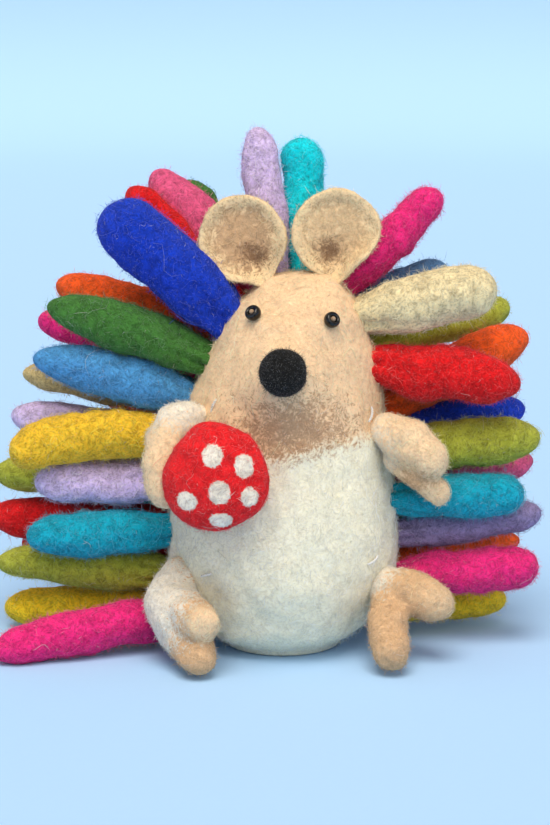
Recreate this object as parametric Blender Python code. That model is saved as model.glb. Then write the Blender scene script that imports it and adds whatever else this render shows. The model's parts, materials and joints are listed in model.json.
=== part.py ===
"""Felted hedgehog pin cushion with coloured quills, holding a toadstool cap.

Metres, +Z up. The origin is the centre of the flat seat under the body.
The face looks towards -Y, and +X is on the right of someone facing it.
Azimuths run from +X (0 degrees) over the back, +Y (90), to -X (180) and the front (270).
"""

import math

import bmesh
import bpy
from mathutils import Vector

# ---------------------------------------------------------------- driving dimensions
BODY_HEIGHT = 0.0945
BELLY_RADIUS = 0.0285
HEAD_LEAN = 0.0050
SNOUT_REACH = 0.0068
SNOUT_HALF_HEIGHT = 0.0100
NOSE_DIAMETER = 0.0114
EYE_DIAMETER = 0.0040
EYE_HOLE = 0.0012
EYE_LENGTH = 0.0028
EAR_DIAMETER = 0.0215
EAR_THICKNESS = 0.0018
EAR_DISH = 0.0030
EAR_STALK = 0.0030
ARM_LENGTH = 0.0300
ARM_THICKNESS = 0.0105
LEG_LENGTH = 0.0220
LEG_THICKNESS = 0.0100
CAP_DIAMETER = 0.0262
CAP_THICKNESS = 0.0085
THREAD_DIAMETER = 0.0007
STITCH_LENGTH = 0.0042
QUILL_LENGTH = 0.0400
QUILL_GAP = 0.0009
PIECE_GAP = 0.0003

# ---------------------------------------------------------------- proportions and places
# Height and radius along the body's outline, as shares of its height and of the belly's radius.
# The crown closes above the last point but one, and the last point only gives its slope there.
OUTLINE = (
    (0.0, 0.45),
    (0.07, 0.77),
    (0.25, 1.0),
    (0.53, 0.905),
    (0.70, 0.81),
    (0.86, 0.62),
    (0.95, 0.42),
)
CROWN_TAPER = 0.62
# Height shares of the body's rings, closer together towards the seat and the crown.
BODY_LEVELS = (
    0.0, 0.02, 0.07, 0.13, 0.19, 0.26, 0.34, 0.42, 0.50, 0.57, 0.63,
    0.68, 0.725, 0.77, 0.815, 0.86, 0.90, 0.94, 0.97, 0.99,
)
SNOUT_LEVEL = 0.775
SNOUT_HALF_ANGLE = math.radians(30)
SNOUT_AZIMUTH = math.radians(266)
# Where the cap's centre is from the arm's stitch, in arm lengths, and where the cap faces.
CAP_ASIDE = 0.440
CAP_DROP = 0.432
CAP_HEADING = 257
CAP_RISE = 6
QUILL_ROWS = 8
COLUMN_STEP = math.radians(24)
ROOT_PINCH = 0.52
ROOT_SWELL = 0.67
LIMB_LIFT = 0.30
EAR_LEAN_BACK = 0.10
EAR_NECK = 0.45
EAR_ROUNDING = 0.6
CAP_EDGE = 0.22
CAP_BEVEL = 0.90
BODY_SIDES = 36
FINGER_SIDES = 10
STITCH_SIDES = 6
NOSE_SIDES = 14
NOSE_STEPS = 8
BEAD_SIDES = 16
BEAD_STEPS = 8
EAR_SIDES = 20
CAP_SIDES = 20

ROW_PITCH = BODY_HEIGHT / QUILL_ROWS
COLUMN_PITCH = BELLY_RADIUS * COLUMN_STEP
QUILL_HEIGHT = ROW_PITCH - QUILL_GAP
QUILL_DEPTH = COLUMN_PITCH - QUILL_GAP

# ---------------------------------------------------------------- wool colours, linear RGB
WOOL = {
    "cream": (0.83, 0.80, 0.66),
    "beige": (0.86, 0.60, 0.36),
    "tan": (0.66, 0.42, 0.22),
    "black": (0.012, 0.012, 0.012),
    "white": (0.80, 0.76, 0.70),
    "red": (0.70, 0.012, 0.017),
    "crimson": (0.42, 0.006, 0.012),
    "orange": (0.84, 0.09, 0.015),
    "mustard": (0.92, 0.48, 0.035),
    "yellow": (0.66, 0.42, 0.02),
    "ivory": (0.85, 0.72, 0.42),
    "straw": (0.62, 0.46, 0.20),
    "olive": (0.32, 0.32, 0.05),
    "green": (0.045, 0.14, 0.032),
    "turquoise": (0.003, 0.33, 0.46),
    "aqua": (0.003, 0.62, 0.80),
    "sky": (0.06, 0.22, 0.50),
    "royal": (0.008, 0.04, 0.45),
    "denim": (0.09, 0.22, 0.42),
    "lavender": (0.58, 0.44, 0.74),
    "heather": (0.30, 0.24, 0.44),
    "pink": (0.90, 0.03, 0.21),
    "rose": (0.72, 0.10, 0.24),
}

# Each eye: name, azimuth and height share. Each ear: name, sideways tilt, azimuth, height share.
EYES = (("eye_left", 232, 0.904), ("eye_right", 298, 0.893))
EARS = (("ear_left", 29, 200, 0.972), ("ear_right", -1, 335, 0.972))

# Each limb: name, azimuth and height share of its stitch, and its fingers. A finger is three
# path points (outwards, sideways towards a larger azimuth, upwards, in limb lengths), then its
# height, depth, root pinch and taper (in limb thicknesses). LIMB_LIFT of a limb's thickness
# holds its root off the body.
ARMS = (
    (
        "arm_left",
        208,
        0.655,
        (
            ((0.0, 0.0, 0.0), (0.40, -0.10, -0.08), (0.22, 0.22, -0.72), 1.10, 0.84, 0.80, 0.72),
            ((0.24, 0.05, -0.34), (0.26, 0.24, -0.44), (0.16, 0.52, -0.54), 0.60, 0.52, 0.90, 0.80),
        ),
    ),
    (
        "arm_right",
        336,
        0.610,
        (
            ((0.0, 0.0, 0.0), (0.255, -0.02, -0.16), (0.495, -0.06, -0.44), 1.26, 0.95, 0.80, 0.60),
            ((0.055, -0.04, -0.16), (0.315, -0.06, -0.42), (0.555, -0.08, -0.72), 0.84, 0.72, 0.90, 0.76),
        ),
    ),
)
LEGS = (
    (
        "leg_left",
        214,
        0.190,
        (
            ((0.004, 0.0, 0.0), (0.424, 0.14, -0.04), (0.224, 0.98, -0.22), 1.22, 1.00, 0.78, 0.78),
            ((0.084, 0.04, -0.06), (0.444, 0.16, -0.40), (0.344, 1.02, -0.68), 1.06, 0.94, 0.90, 0.84),
        ),
    ),
    (
        "leg_right",
        334,
        0.200,
        (
            ((0.004, 0.0, 0.0), (0.384, -0.04, -0.06), (0.784, -0.08, -0.26), 1.14, 1.00, 0.80, 0.84),
            ((0.024, -0.06, -0.06), (0.224, -0.24, -0.30), (0.244, -0.96, -0.72), 1.06, 0.98, 0.90, 0.84),
        ),
    ),
)
# Each stitch: name, azimuth and height share on the body, and its slant in degrees.
STITCHES = (
    ("thread_arm_left", 221, 0.665, 75),
    ("thread_arm_right", 326, 0.640, 60),
    ("thread_leg_left", 227, 0.240, 20),
    ("thread_leg_right", 318, 0.270, 20),
)

# Each quill: name, wool, root azimuth, root height as a share of the body's height,
# heading, rise, length share, girth share and bow (sideways bend, up is positive).
# Angles are in degrees.
LEFT_FRONT = (
    ("quill_left_front_1_pink", "pink", 192, 0.090, 199, -4, 1.26, 0.95, 0.03),
    ("quill_left_front_2_olive", "olive", 178, 0.188, 174, 3, 1.12, 1.00, 0.02),
    ("quill_left_front_3_turquoise", "turquoise", 185, 0.314, 185, -1, 0.95, 1.02, 0.00),
    ("quill_left_front_4_lavender", "lavender", 180, 0.437, 178, 1, 0.90, 1.00, 0.02),
    ("quill_left_front_5_mustard", "mustard", 183, 0.553, 183, 0, 1.08, 1.00, 0.09),
    ("quill_left_front_6_sky", "sky", 180, 0.663, 180, 14, 0.98, 0.95, 0.03),
    ("quill_left_front_7_green", "green", 182, 0.768, 182, 20, 1.04, 0.98, 0.04),
    ("quill_left_front_8_royal", "royal", 182, 0.880, 182, 29, 0.95, 1.12, 0.03),
)
LEFT_BACK = (
    ("quill_left_back_1_yellow", "yellow", 164, 0.092, 172, -3, 1.22, 0.90, 0.00),
    ("quill_left_back_2_red", "red", 158, 0.290, 174, 2, 1.20, 1.00, 0.00),
    ("quill_left_back_3_olive", "olive", 158, 0.415, 174, 1, 1.20, 0.90, 0.00),
    ("quill_left_back_4_lavender", "lavender", 156, 0.535, 174, 6, 1.15, 0.90, 0.00),
    ("quill_left_back_5_straw", "straw", 155, 0.635, 174, 8, 1.12, 0.90, 0.02),
    ("quill_left_back_6_pink", "pink", 153, 0.730, 171, 14, 1.12, 0.90, 0.02),
    ("quill_left_back_7_orange", "orange", 151, 0.820, 168, 18, 1.12, 0.90, 0.02),
    ("quill_left_back_8_red", "red", 152, 0.905, 164, 42, 0.98, 0.84, 0.00),
    ("quill_left_back_9_rose", "rose", 128, 0.936, 152, 51, 1.00, 0.94, 0.00),
)
LEFT_REAR = (
    ("quill_left_rear_1_crimson", "crimson", 140, 0.092, 154, -3, 1.05, 0.90, 0.00),
    ("quill_left_rear_2_red", "red", 148, 0.190, 164, 2, 1.15, 0.90, 0.00),
    ("quill_left_rear_3_royal", "royal", 132, 0.460, 160, 3, 1.10, 0.90, 0.00),
    ("quill_left_rear_4_turquoise", "turquoise", 130, 0.660, 158, 8, 1.10, 0.90, 0.00),
    ("quill_left_rear_5_green", "green", 116, 0.870, 132, 52, 1.06, 0.90, 0.00),
)
RIGHT_FRONT = (
    ("quill_right_front_1_pink", "pink", 357, 0.185, 0, 5, 0.90, 1.00, 0.00),
    ("quill_right_front_2_lavender", "heather", 4, 0.292, 5, 8, 0.92, 0.90, 0.00),
    ("quill_right_front_3_turquoise", "turquoise", 354, 0.400, 357, 3, 0.80, 1.00, 0.00),
    ("quill_right_front_4_olive", "olive", 0, 0.520, 0, 6, 0.95, 1.08, 0.00),
    ("quill_right_front_5_red", "red", 350, 0.752, 353, -6, 0.90, 1.10, 0.02),
    ("quill_right_front_6_ivory", "ivory", 352, 0.885, 354, 11, 0.88, 1.18, 0.02),
    ("quill_right_front_7_pink", "pink", 28, 0.950, 12, 43, 0.84, 0.95, 0.00),
)
RIGHT_BACK = (
    ("quill_right_back_1_yellow", "yellow", 20, 0.092, 14, -2, 0.90, 0.90, 0.00),
    ("quill_right_back_2_orange", "orange", 26, 0.205, 18, 2, 0.95, 0.90, 0.00),
    ("quill_right_back_3_green", "green", 26, 0.330, 16, 4, 0.95, 0.90, 0.00),
    ("quill_right_back_4_rose", "rose", 24, 0.450, 12, 0, 1.00, 0.90, 0.00),
    ("quill_right_back_5_royal", "royal", 22, 0.575, 10, 4, 0.95, 0.90, 0.00),
    ("quill_right_back_6_orange", "orange", 14, 0.640, 10, 25, 1.02, 0.90, 0.00),
    ("quill_right_back_7_olive", "olive", 36, 0.775, 18, 12, 1.04, 0.90, 0.00),
    ("quill_right_back_8_denim", "denim", 34, 0.885, 18, 17, 0.86, 0.90, 0.00),
)
CROWN = (
    ("quill_crown_1_lavender", "lavender", 140, 0.976, 126, 76, 0.98, 0.90, 0.00),
    ("quill_crown_2_aqua", "aqua", 84, 0.965, 92, 78, 0.94, 0.92, 0.00),
)
REAR = (
    ("quill_rear_1_sky", "sky", 66, 0.120, 62, 0, 0.95, 0.95, 0.00),
    ("quill_rear_2_mustard", "mustard", 114, 0.120, 118, 0, 0.95, 0.95, 0.00),
    ("quill_rear_3_pink", "pink", 90, 0.330, 90, 4, 0.95, 0.95, 0.00),
    ("quill_rear_4_turquoise", "turquoise", 62, 0.540, 60, 8, 0.95, 0.95, 0.00),
    ("quill_rear_5_olive", "olive", 110, 0.560, 112, 8, 0.95, 0.95, 0.00),
    ("quill_rear_6_orange", "orange", 88, 0.800, 88, 28, 0.95, 0.95, 0.00),
)


# ---------------------------------------------------------------- scene and materials
def clear_scene():
    """Remove whatever the opening scene holds."""
    for item in list(bpy.data.objects):
        bpy.data.objects.remove(item, do_unlink=True)


def material(name, colour, roughness, metallic=0.0):
    """Return the Principled material of this name, made once."""
    found = bpy.data.materials.get(name)
    if found:
        return found
    made = bpy.data.materials.new(name)
    made.use_nodes = True
    made.diffuse_color = (*colour, 1.0)
    shader = made.node_tree.nodes["Principled BSDF"]
    shader.inputs["Base Color"].default_value = (*colour, 1.0)
    shader.inputs["Roughness"].default_value = roughness
    shader.inputs["Metallic"].default_value = metallic
    return made


def wool(colour):
    """Return the matt felted wool of a named colour."""
    return material(f"wool_{colour}", WOOL[colour], 0.95)


def add_object(name, mesh_data, finish, origin=(0.0, 0.0, 0.0)):
    """Make one object from a bmesh given in world metres, with its origin at a chosen point."""
    bmesh.ops.recalc_face_normals(mesh_data, faces=mesh_data.faces)
    bmesh.ops.translate(mesh_data, verts=mesh_data.verts, vec=-Vector(origin))
    mesh = bpy.data.meshes.new(name)
    mesh_data.to_mesh(mesh)
    mesh_data.free()
    mesh.materials.append(finish)
    mesh.shade_smooth()
    made = bpy.data.objects.new(name, mesh)
    made.location = origin
    bpy.context.scene.collection.objects.link(made)
    return made


# ---------------------------------------------------------------- the body's surface
def hermite(points, at):
    """Value at `at` of the smooth curve through points sorted by their first number."""
    last = len(points) - 1
    i = max(k for k in range(last) if points[k][0] <= at or k == 0)
    slopes = []
    for k in (i, i + 1):
        before, after = points[max(k - 1, 0)], points[min(k + 1, last)]
        slopes.append((after[1] - before[1]) / (after[0] - before[0]))
    (x0, y0), (x1, y1) = points[i], points[i + 1]
    span = x1 - x0
    t = min(max((at - x0) / span, 0.0), 1.0)
    return (
        y0 * (1 + 2 * t) * (1 - t) ** 2
        + slopes[0] * span * t * (1 - t) ** 2
        + y1 * t * t * (3 - 2 * t)
        + slopes[1] * span * t * t * (t - 1)
    )


def belly_radius(share):
    """Radius of the body at a share of its height; the crown is a tapered quarter ellipse."""
    level, width = OUTLINE[-2]
    if share < level:
        return BELLY_RADIUS * hermite(OUTLINE, share)
    rise = (share - level) / (1 - level)
    ellipse = math.sqrt(max(1 - rise * rise, 0.0))
    return BELLY_RADIUS * width * ellipse * (1 - CROWN_TAPER * rise) ** 0.25


def lean(share):
    """Sideways offset of the body's axis, which tips the head towards +X."""
    return HEAD_LEAN * share ** 4


def snout(azimuth, height):
    """Forward reach of the snout at a place on the body."""
    turn = (azimuth - SNOUT_AZIMUTH + math.pi) % math.tau - math.pi
    level = (height - SNOUT_LEVEL * BODY_HEIGHT) / SNOUT_HALF_HEIGHT
    return SNOUT_REACH * math.exp(-((turn / SNOUT_HALF_ANGLE) ** 2) - level * level)


def body_point(azimuth, share):
    """Point on the body's surface at an azimuth in radians and a share of its height."""
    height = share * BODY_HEIGHT
    radius = belly_radius(share)
    return Vector(
        (
            radius * math.cos(azimuth) + lean(share),
            radius * math.sin(azimuth) - snout(azimuth, height),
            height,
        )
    )


def body_normal(azimuth, share):
    """Outward direction of the body's surface."""
    step = 0.01
    around = body_point(azimuth + step, share) - body_point(azimuth - step, share)
    low, high = max(share - step, 0.0), min(share + step, 0.995)
    upward = body_point(azimuth, high) - body_point(azimuth, low)
    return around.cross(upward).normalized()


def seated(azimuth, share, direction, root_radius):
    """Centre of a root that meets the body with the piece gap, however it is tilted."""
    normal = body_normal(azimuth, share)
    tilt = math.sqrt(max(1 - normal.dot(direction) ** 2, 0.0))
    return body_point(azimuth, share) + normal * (PIECE_GAP + root_radius * tilt)


def direction_of(heading, rise):
    """Unit vector from a heading and a rise in degrees."""
    turn, up = math.radians(heading), math.radians(rise)
    return Vector((math.cos(up) * math.cos(turn), math.cos(up) * math.sin(turn), math.sin(up)))


# ---------------------------------------------------------------- lofted felt shapes
def loft(rings, start=None, end=None):
    """Skin closed rings of points into a solid; a start or end point closes that side as a cone."""
    made = bmesh.new()
    loops = [[made.verts.new(p) for p in ring] for ring in rings]
    count = len(loops[0])
    for a, b in zip(loops, loops[1:]):
        for i in range(count):
            j = (i + 1) % count
            made.faces.new((a[i], a[j], b[j], b[i]))
    for loop, point in ((loops[0], start), (loops[-1], end)):
        if point is None:
            made.faces.new(loop)
            continue
        tip = made.verts.new(point)
        for i in range(count):
            made.faces.new((loop[i], loop[(i + 1) % count], tip))
    return made


def finger(path, length, height, depth, pinch=ROOT_PINCH, taper=0.94, sides=FINGER_SIDES):
    """A felt finger along a path: pinched at its root, full along its length, round at its tip.

    The path gives a point for a share from 0 to 1. Height is the finger's thickness in the
    plane of its path and the vertical, and depth is across that plane.
    """
    cap = min(0.5 * max(height, depth) / length, 0.4)
    swollen = pinch + ROOT_SWELL * (1 - pinch)
    stations = [(0.0, pinch), (0.12, swollen), (0.30, 1.0), (0.58, 1.0), (1 - cap, taper)]
    stations += [(1 - cap + cap * math.sin(a), taper * math.cos(a)) for a in (0.62, 1.15)]
    rings = []
    for along, full in stations:
        ahead = (path(min(along + 0.01, 1.0)) - path(max(along - 0.01, 0.0))).normalized()
        across = ahead.cross(Vector((0, 0, 1))).normalized()
        upward = across.cross(ahead)
        ring = []
        for k in range(sides):
            turn = math.tau * k / sides
            side = across * (0.5 * depth * full * math.cos(turn))
            ring.append(path(along) + side + upward * (0.5 * height * full * math.sin(turn)))
        rings.append(ring)
    return loft(rings, end=path(1.0))


def bowed(root, direction, length, bow):
    """Path from a root along a direction, bowed upwards by a share of its length."""
    upward = direction.cross(Vector((0, 0, 1))).normalized().cross(direction)
    middle = root + direction * (0.5 * length) + upward * (2 * bow * length)
    return bend((root, middle, root + direction * length))


def bend(points):
    """Path of the quadratic Bezier curve through three points."""
    a, b, c = points

    def place(t):
        return a * (1 - t) ** 2 + b * (2 * t * (1 - t)) + c * t * t

    return place


def join(name, part, other):
    """Unite a second felt shape with the first; the second stays only as a guide."""
    guide = add_object(f"{name}_guide", other, part.data.materials[0])
    guide.hide_render = True
    guide.display_type = "WIRE"
    union = part.modifiers.new("felted together", "BOOLEAN")
    union.operation = "UNION"
    union.object = guide
    return part


# ---------------------------------------------------------------- body, face and ears
def add_body():
    """The felted wool body: flat seat, round belly, narrower head and a snout."""
    rings = []
    for share in BODY_LEVELS:
        rings.append([body_point(math.tau * k / BODY_SIDES, share) for k in range(BODY_SIDES)])
    crown = Vector((lean(1.0), 0.0, BODY_HEIGHT))
    return add_object("body_felt", loft(rings, end=crown), wool("cream"))


def turned(outline, centre, axis, sides):
    """Solid of revolution of (radius, height) points about an axis; a radius of 0 is a pole."""
    spin = Vector((0, 0, 1)).rotation_difference(axis).to_matrix()
    rings, poles = [], {}
    for i, (radius, height) in enumerate(outline):
        if radius == 0.0:
            poles[i] = centre + spin @ Vector((0, 0, height))
            continue
        ring = []
        for k in range(sides):
            turn = math.tau * k / sides
            place = Vector((radius * math.cos(turn), radius * math.sin(turn), height))
            ring.append(centre + spin @ place)
        rings.append(ring)
    return loft(rings, start=poles.get(0), end=poles.get(len(outline) - 1))


def add_nose():
    """Black felt ball on the tip of the snout."""
    radius = 0.5 * NOSE_DIAMETER
    normal = body_normal(SNOUT_AZIMUTH, SNOUT_LEVEL)
    centre = body_point(SNOUT_AZIMUTH, SNOUT_LEVEL) + normal * (radius + PIECE_GAP)
    angles = [math.pi * k / NOSE_STEPS for k in range(1, NOSE_STEPS)]
    outline = [(radius * math.sin(a), -radius * math.cos(a)) for a in angles]
    outline = [(0.0, -radius), *outline, (0.0, radius)]
    return add_object("nose", turned(outline, centre, normal, NOSE_SIDES), wool("black"), centre)


def add_eye(name, azimuth, share):
    """Round glass seed bead sewn with its hole facing outwards."""
    normal = body_normal(math.radians(azimuth), share)
    middle = body_point(math.radians(azimuth), share) + normal * (0.5 * EYE_LENGTH + PIECE_GAP)
    tube = 0.25 * (EYE_DIAMETER - EYE_HOLE)
    ring = 0.25 * (EYE_DIAMETER + EYE_HOLE)
    spin = Vector((0, 0, 1)).rotation_difference(normal).to_matrix()
    made = bmesh.new()
    grid = []
    for i in range(BEAD_SIDES):
        turn = math.tau * i / BEAD_SIDES
        row = []
        for k in range(BEAD_STEPS):
            roll = math.tau * k / BEAD_STEPS
            radius = ring + tube * math.cos(roll)
            height = 0.5 * EYE_LENGTH * math.sin(roll)
            place = Vector((radius * math.cos(turn), radius * math.sin(turn), height))
            row.append(made.verts.new(middle + spin @ place))
        grid.append(row)
    for i in range(BEAD_SIDES):
        for k in range(BEAD_STEPS):
            after, beside = (i + 1) % BEAD_SIDES, (k + 1) % BEAD_STEPS
            made.faces.new((grid[i][k], grid[after][k], grid[after][beside], grid[i][beside]))
    return add_object(name, made, material("bead_glass", (0.015, 0.014, 0.014), 0.12), middle)


def add_ear(name, tilt, azimuth, share):
    """Dished felt disc on a pinched stalk; it faces the front and tilts sideways by an angle."""
    tilt = math.radians(tilt)
    up = Vector((-math.sin(tilt), EAR_LEAN_BACK, math.cos(tilt))).normalized()
    front = Vector((0, -1, 0))
    out = up.cross(front).normalized()
    front = out.cross(up).normalized()
    base = seated(math.radians(azimuth), share, up, 0.5 * EAR_THICKNESS)
    radius, half = 0.5 * EAR_DIAMETER, 0.5 * EAR_THICKNESS
    middle = base + up * (radius + EAR_STALK)
    made = bmesh.new()
    layers = []
    for face in (1, -1):
        rings = [[made.verts.new(middle - front * (EAR_DISH - face * half))]]
        for share_out in (0.45, 0.8, 1.0):
            ring = []
            thickness = half * (1.0 if share_out < 1 else EAR_ROUNDING)
            for k in range(EAR_SIDES):
                turn = math.tau * k / EAR_SIDES
                down = max(-math.sin(turn), 0.0)
                reach = (radius + EAR_STALK * down ** 6) * share_out
                width = 1.0 - EAR_NECK * down ** 3 * share_out
                depth = EAR_DISH * (1 - share_out ** 2) - face * thickness
                place = middle - front * depth
                place += out * (reach * width * math.cos(turn)) + up * (reach * math.sin(turn))
                ring.append(made.verts.new(place))
            rings.append(ring)
        layers.append(rings)
    for rings in layers:
        for k in range(EAR_SIDES):
            after = (k + 1) % EAR_SIDES
            made.faces.new((rings[0][0], rings[1][k], rings[1][after]))
            for inner, outer in zip(rings[1:], rings[2:]):
                made.faces.new((inner[k], outer[k], outer[after], inner[after]))
    front_rim, back_rim = layers[0][-1], layers[1][-1]
    for k in range(EAR_SIDES):
        after = (k + 1) % EAR_SIDES
        made.faces.new((front_rim[k], back_rim[k], back_rim[after], front_rim[after]))
    return add_object(name, made, wool("beige"), base)


# ---------------------------------------------------------------- limbs, cap and stitches
def sewn_frame(azimuth, share):
    """Where a limb is sewn: the place on the body, and outwards, sideways and upwards there."""
    turn = math.radians(azimuth)
    outwards = Vector((math.cos(turn), math.sin(turn), 0.0))
    sideways = Vector((-math.sin(turn), math.cos(turn), 0.0))
    return body_point(turn, share), outwards, sideways, Vector((0, 0, 1))


def add_limb(row, size, thickness):
    """A felt arm or leg: fingers with a common root, felted into one piece."""
    name, azimuth, share, fingers = row
    place, outwards, sideways, upwards = sewn_frame(azimuth, share)
    lift = outwards * (PIECE_GAP + LIMB_LIFT * thickness)
    solids = []
    for *points, height, depth, pinch, taper in fingers:
        world = [
            place + lift + (outwards * out + sideways * side + upwards * up) * size
            for out, side, up in points
        ]
        path = bend(world)
        reach = sum((path((k + 1) / 8) - path(k / 8)).length for k in range(8))
        solids.append(finger(path, reach, height * thickness, depth * thickness, pinch, taper))
    limb = add_object(name, solids[0], wool("beige"), place)
    for other in solids[1:]:
        join(name, limb, other)
    return limb


def foremost(name, facing):
    """How far a limb reaches along a direction, from the felt shapes it is made of."""
    shapes = (bpy.data.objects[name], bpy.data.objects[f"{name}_guide"])
    return max((shape.location + v.co).dot(facing) for shape in shapes for v in shape.data.vertices)


def add_cap(arm):
    """Red felt toadstool cap: a dome whose flat back lies against an arm's paw."""
    name, azimuth, share, _ = arm
    facing = direction_of(CAP_HEADING, CAP_RISE)
    place, _, sideways, upwards = sewn_frame(azimuth, share)
    beside = place + (sideways * CAP_ASIDE - upwards * CAP_DROP) * ARM_LENGTH
    back = beside + facing * (foremost(name, facing) + PIECE_GAP - beside.dot(facing))
    radius, edge = 0.5 * CAP_DIAMETER, CAP_EDGE * CAP_THICKNESS
    dome = CAP_THICKNESS - edge
    outline = [(0.0, 0.0), (CAP_BEVEL * radius, 0.0), (radius, edge)]
    for angle in (20, 40, 60, 76):
        lift = math.radians(angle)
        outline.append((radius * math.cos(lift), edge + dome * math.sin(lift)))
    outline.append((0.0, CAP_THICKNESS))
    return add_object("toadstool_cap", turned(outline, back, facing, CAP_SIDES), wool("red"), back)


def add_stitch(name, azimuth, share, slant):
    """Short length of sewing thread that lies on the body beside the limb it holds."""
    turn, slope = math.radians(azimuth), math.radians(slant)
    normal = body_normal(turn, share)
    sideways = Vector((-math.sin(turn), math.cos(turn), 0.0))
    along = sideways * math.cos(slope) + normal.cross(sideways) * math.sin(slope)
    middle = body_point(turn, share) + normal * (PIECE_GAP + 0.5 * THREAD_DIAMETER)
    start = middle - along * (0.5 * STITCH_LENGTH)
    path = bowed(start, along, STITCH_LENGTH, 0.0)
    made = finger(path, STITCH_LENGTH, THREAD_DIAMETER, THREAD_DIAMETER, 1.0, 1.0, STITCH_SIDES)
    return add_object(name, made, material("sewing_thread", (0.85, 0.85, 0.85), 0.6), middle)


# ---------------------------------------------------------------- quills
def add_quill(row):
    """One felt finger, seated on the body and stitched at its pinched root."""
    name, colour, azimuth, share, heading, rise, length, girth, bow = row
    direction = direction_of(heading, rise)
    height, depth = QUILL_HEIGHT * girth, QUILL_DEPTH * girth
    root_radius = 0.5 * ROOT_PINCH * max(height, depth)
    root = seated(math.radians(azimuth), share, direction, root_radius)
    reach = QUILL_LENGTH * length
    made = finger(bowed(root, direction, reach, bow), reach, height, depth)
    return add_object(name, made, wool(colour), root)


def main():
    """Build every piece of the hedgehog."""
    clear_scene()
    add_body()
    add_nose()
    for name, azimuth, share in EYES:
        add_eye(name, azimuth, share)
    for name, tilt, azimuth, share in EARS:
        add_ear(name, tilt, azimuth, share)
    for arm in ARMS:
        add_limb(arm, ARM_LENGTH, ARM_THICKNESS)
    for leg in LEGS:
        add_limb(leg, LEG_LENGTH, LEG_THICKNESS)
    add_cap(ARMS[0])
    for stitch in STITCHES:
        add_stitch(*stitch)
    for group in (LEFT_FRONT, LEFT_BACK, LEFT_REAR, RIGHT_FRONT, RIGHT_BACK, CROWN, REAR):
        for row in group:
            add_quill(row)


main()
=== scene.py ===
"""Felted hedgehog pin cushion: wool body, ears and limbs, coloured quills, bead eyes and a toadstool cap.

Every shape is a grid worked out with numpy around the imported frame. Loose wool fibres stand on it.
"""

import json
import logging
import math
from dataclasses import dataclass, replace
from enum import Enum
from typing import ClassVar

import bpy
import numpy as np
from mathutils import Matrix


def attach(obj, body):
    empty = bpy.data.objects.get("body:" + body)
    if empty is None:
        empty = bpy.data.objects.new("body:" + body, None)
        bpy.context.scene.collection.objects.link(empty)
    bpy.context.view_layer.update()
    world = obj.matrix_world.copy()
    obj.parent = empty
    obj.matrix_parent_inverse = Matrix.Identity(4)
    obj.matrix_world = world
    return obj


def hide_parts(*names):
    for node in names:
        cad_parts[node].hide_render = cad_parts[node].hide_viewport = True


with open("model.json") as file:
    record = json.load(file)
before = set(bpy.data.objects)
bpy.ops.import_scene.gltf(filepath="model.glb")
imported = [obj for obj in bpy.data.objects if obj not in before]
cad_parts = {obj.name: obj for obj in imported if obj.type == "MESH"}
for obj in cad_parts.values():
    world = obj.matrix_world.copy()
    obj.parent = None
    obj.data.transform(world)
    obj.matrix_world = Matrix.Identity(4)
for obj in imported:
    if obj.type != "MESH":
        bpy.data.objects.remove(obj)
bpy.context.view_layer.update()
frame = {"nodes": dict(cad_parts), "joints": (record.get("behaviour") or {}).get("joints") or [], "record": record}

MM = 0.001
TAU = math.tau
UP = np.array((0.0, 0.0, 1.0))
LOG = logging.getLogger("hedgehog")

Array = np.ndarray
Colour = tuple[float, float, float]


# ---------------------------------------------------------------- small numpy tools
def unit(vectors: Array) -> Array:
    """Return vectors divided by their lengths."""
    lengths = np.linalg.norm(vectors, axis=-1, keepdims=True)
    return vectors / np.maximum(lengths, 1e-12)


def smooth_step(low: float, high: float, value: Array) -> Array:
    """Return 0 below low, 1 above high, and 3t^2 - 2t^3 between them."""
    t = np.clip((value - low) / (high - low), 0.0, 1.0)
    return t * t * (3.0 - 2.0 * t)


def catmull_rom(rows: Array, at: Array, closed: bool) -> Array:
    """Carry a smooth curve through rows of points.

    Args:
        rows: points, one row for each step along the first axis.
        at: fractional row numbers.
        closed: whether the last row joins the first.

    Returns:
        The Catmull-Rom cubic of the four nearest rows at each row number.
    """
    count = len(rows)
    first = np.floor(at).astype(int)
    t = (at - first).reshape((-1,) + (1,) * (rows.ndim - 1))
    steps = [first + k for k in (-1, 0, 1, 2)]
    picks = [step % count if closed else np.clip(step, 0, count - 1) for step in steps]
    a, b, c, d = (rows[pick] for pick in picks)
    return b + 0.5 * t * ((c - a) + t * ((2 * a - 5 * b + 4 * c - d) + t * (3 * (b - c) + d - a)))


def circle(sides: int) -> Array:
    """Return the angles of equal steps round a circle."""
    return TAU * np.arange(sides) / sides


def unit_ball(sides: int, rows: int) -> Array:
    """Return the grid of a ball of radius 1: (sin v cos u, sin v sin u, cos v)."""
    u, v = np.meshgrid(circle(sides), np.linspace(0.0, math.pi, rows))
    return np.stack([np.sin(v) * np.cos(u), np.sin(v) * np.sin(u), np.cos(v)], -1)


def mm(*values: float) -> tuple[float, ...]:
    """Return millimetres as metres."""
    return tuple(value * MM for value in values)


def mesh_rows(mesh: bpy.types.Mesh, kind: str) -> Array:
    """Return the vertices' places (kind "co") or directions (kind "normal") as rows."""
    flat = np.empty(len(mesh.vertices) * 3, np.float32)
    mesh.vertices.foreach_get(kind, flat)
    return flat.reshape(-1, 3).astype(float)


def node_points(node: str) -> Array:
    """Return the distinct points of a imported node, in metres."""
    return np.unique(np.round(mesh_rows(frame["nodes"][node].data, "co"), 6), axis=0)


def main_axes(points: Array) -> Array:
    """Return three unit directions, from the one in which points spread most to the least."""
    return np.linalg.svd(points - points.mean(0))[2]


def body_of(node: str) -> str:
    """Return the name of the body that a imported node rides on."""
    groups = frame["record"]["behaviour"]["bodies"]
    return next(body for body, members in groups.items() if node in members)


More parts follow.
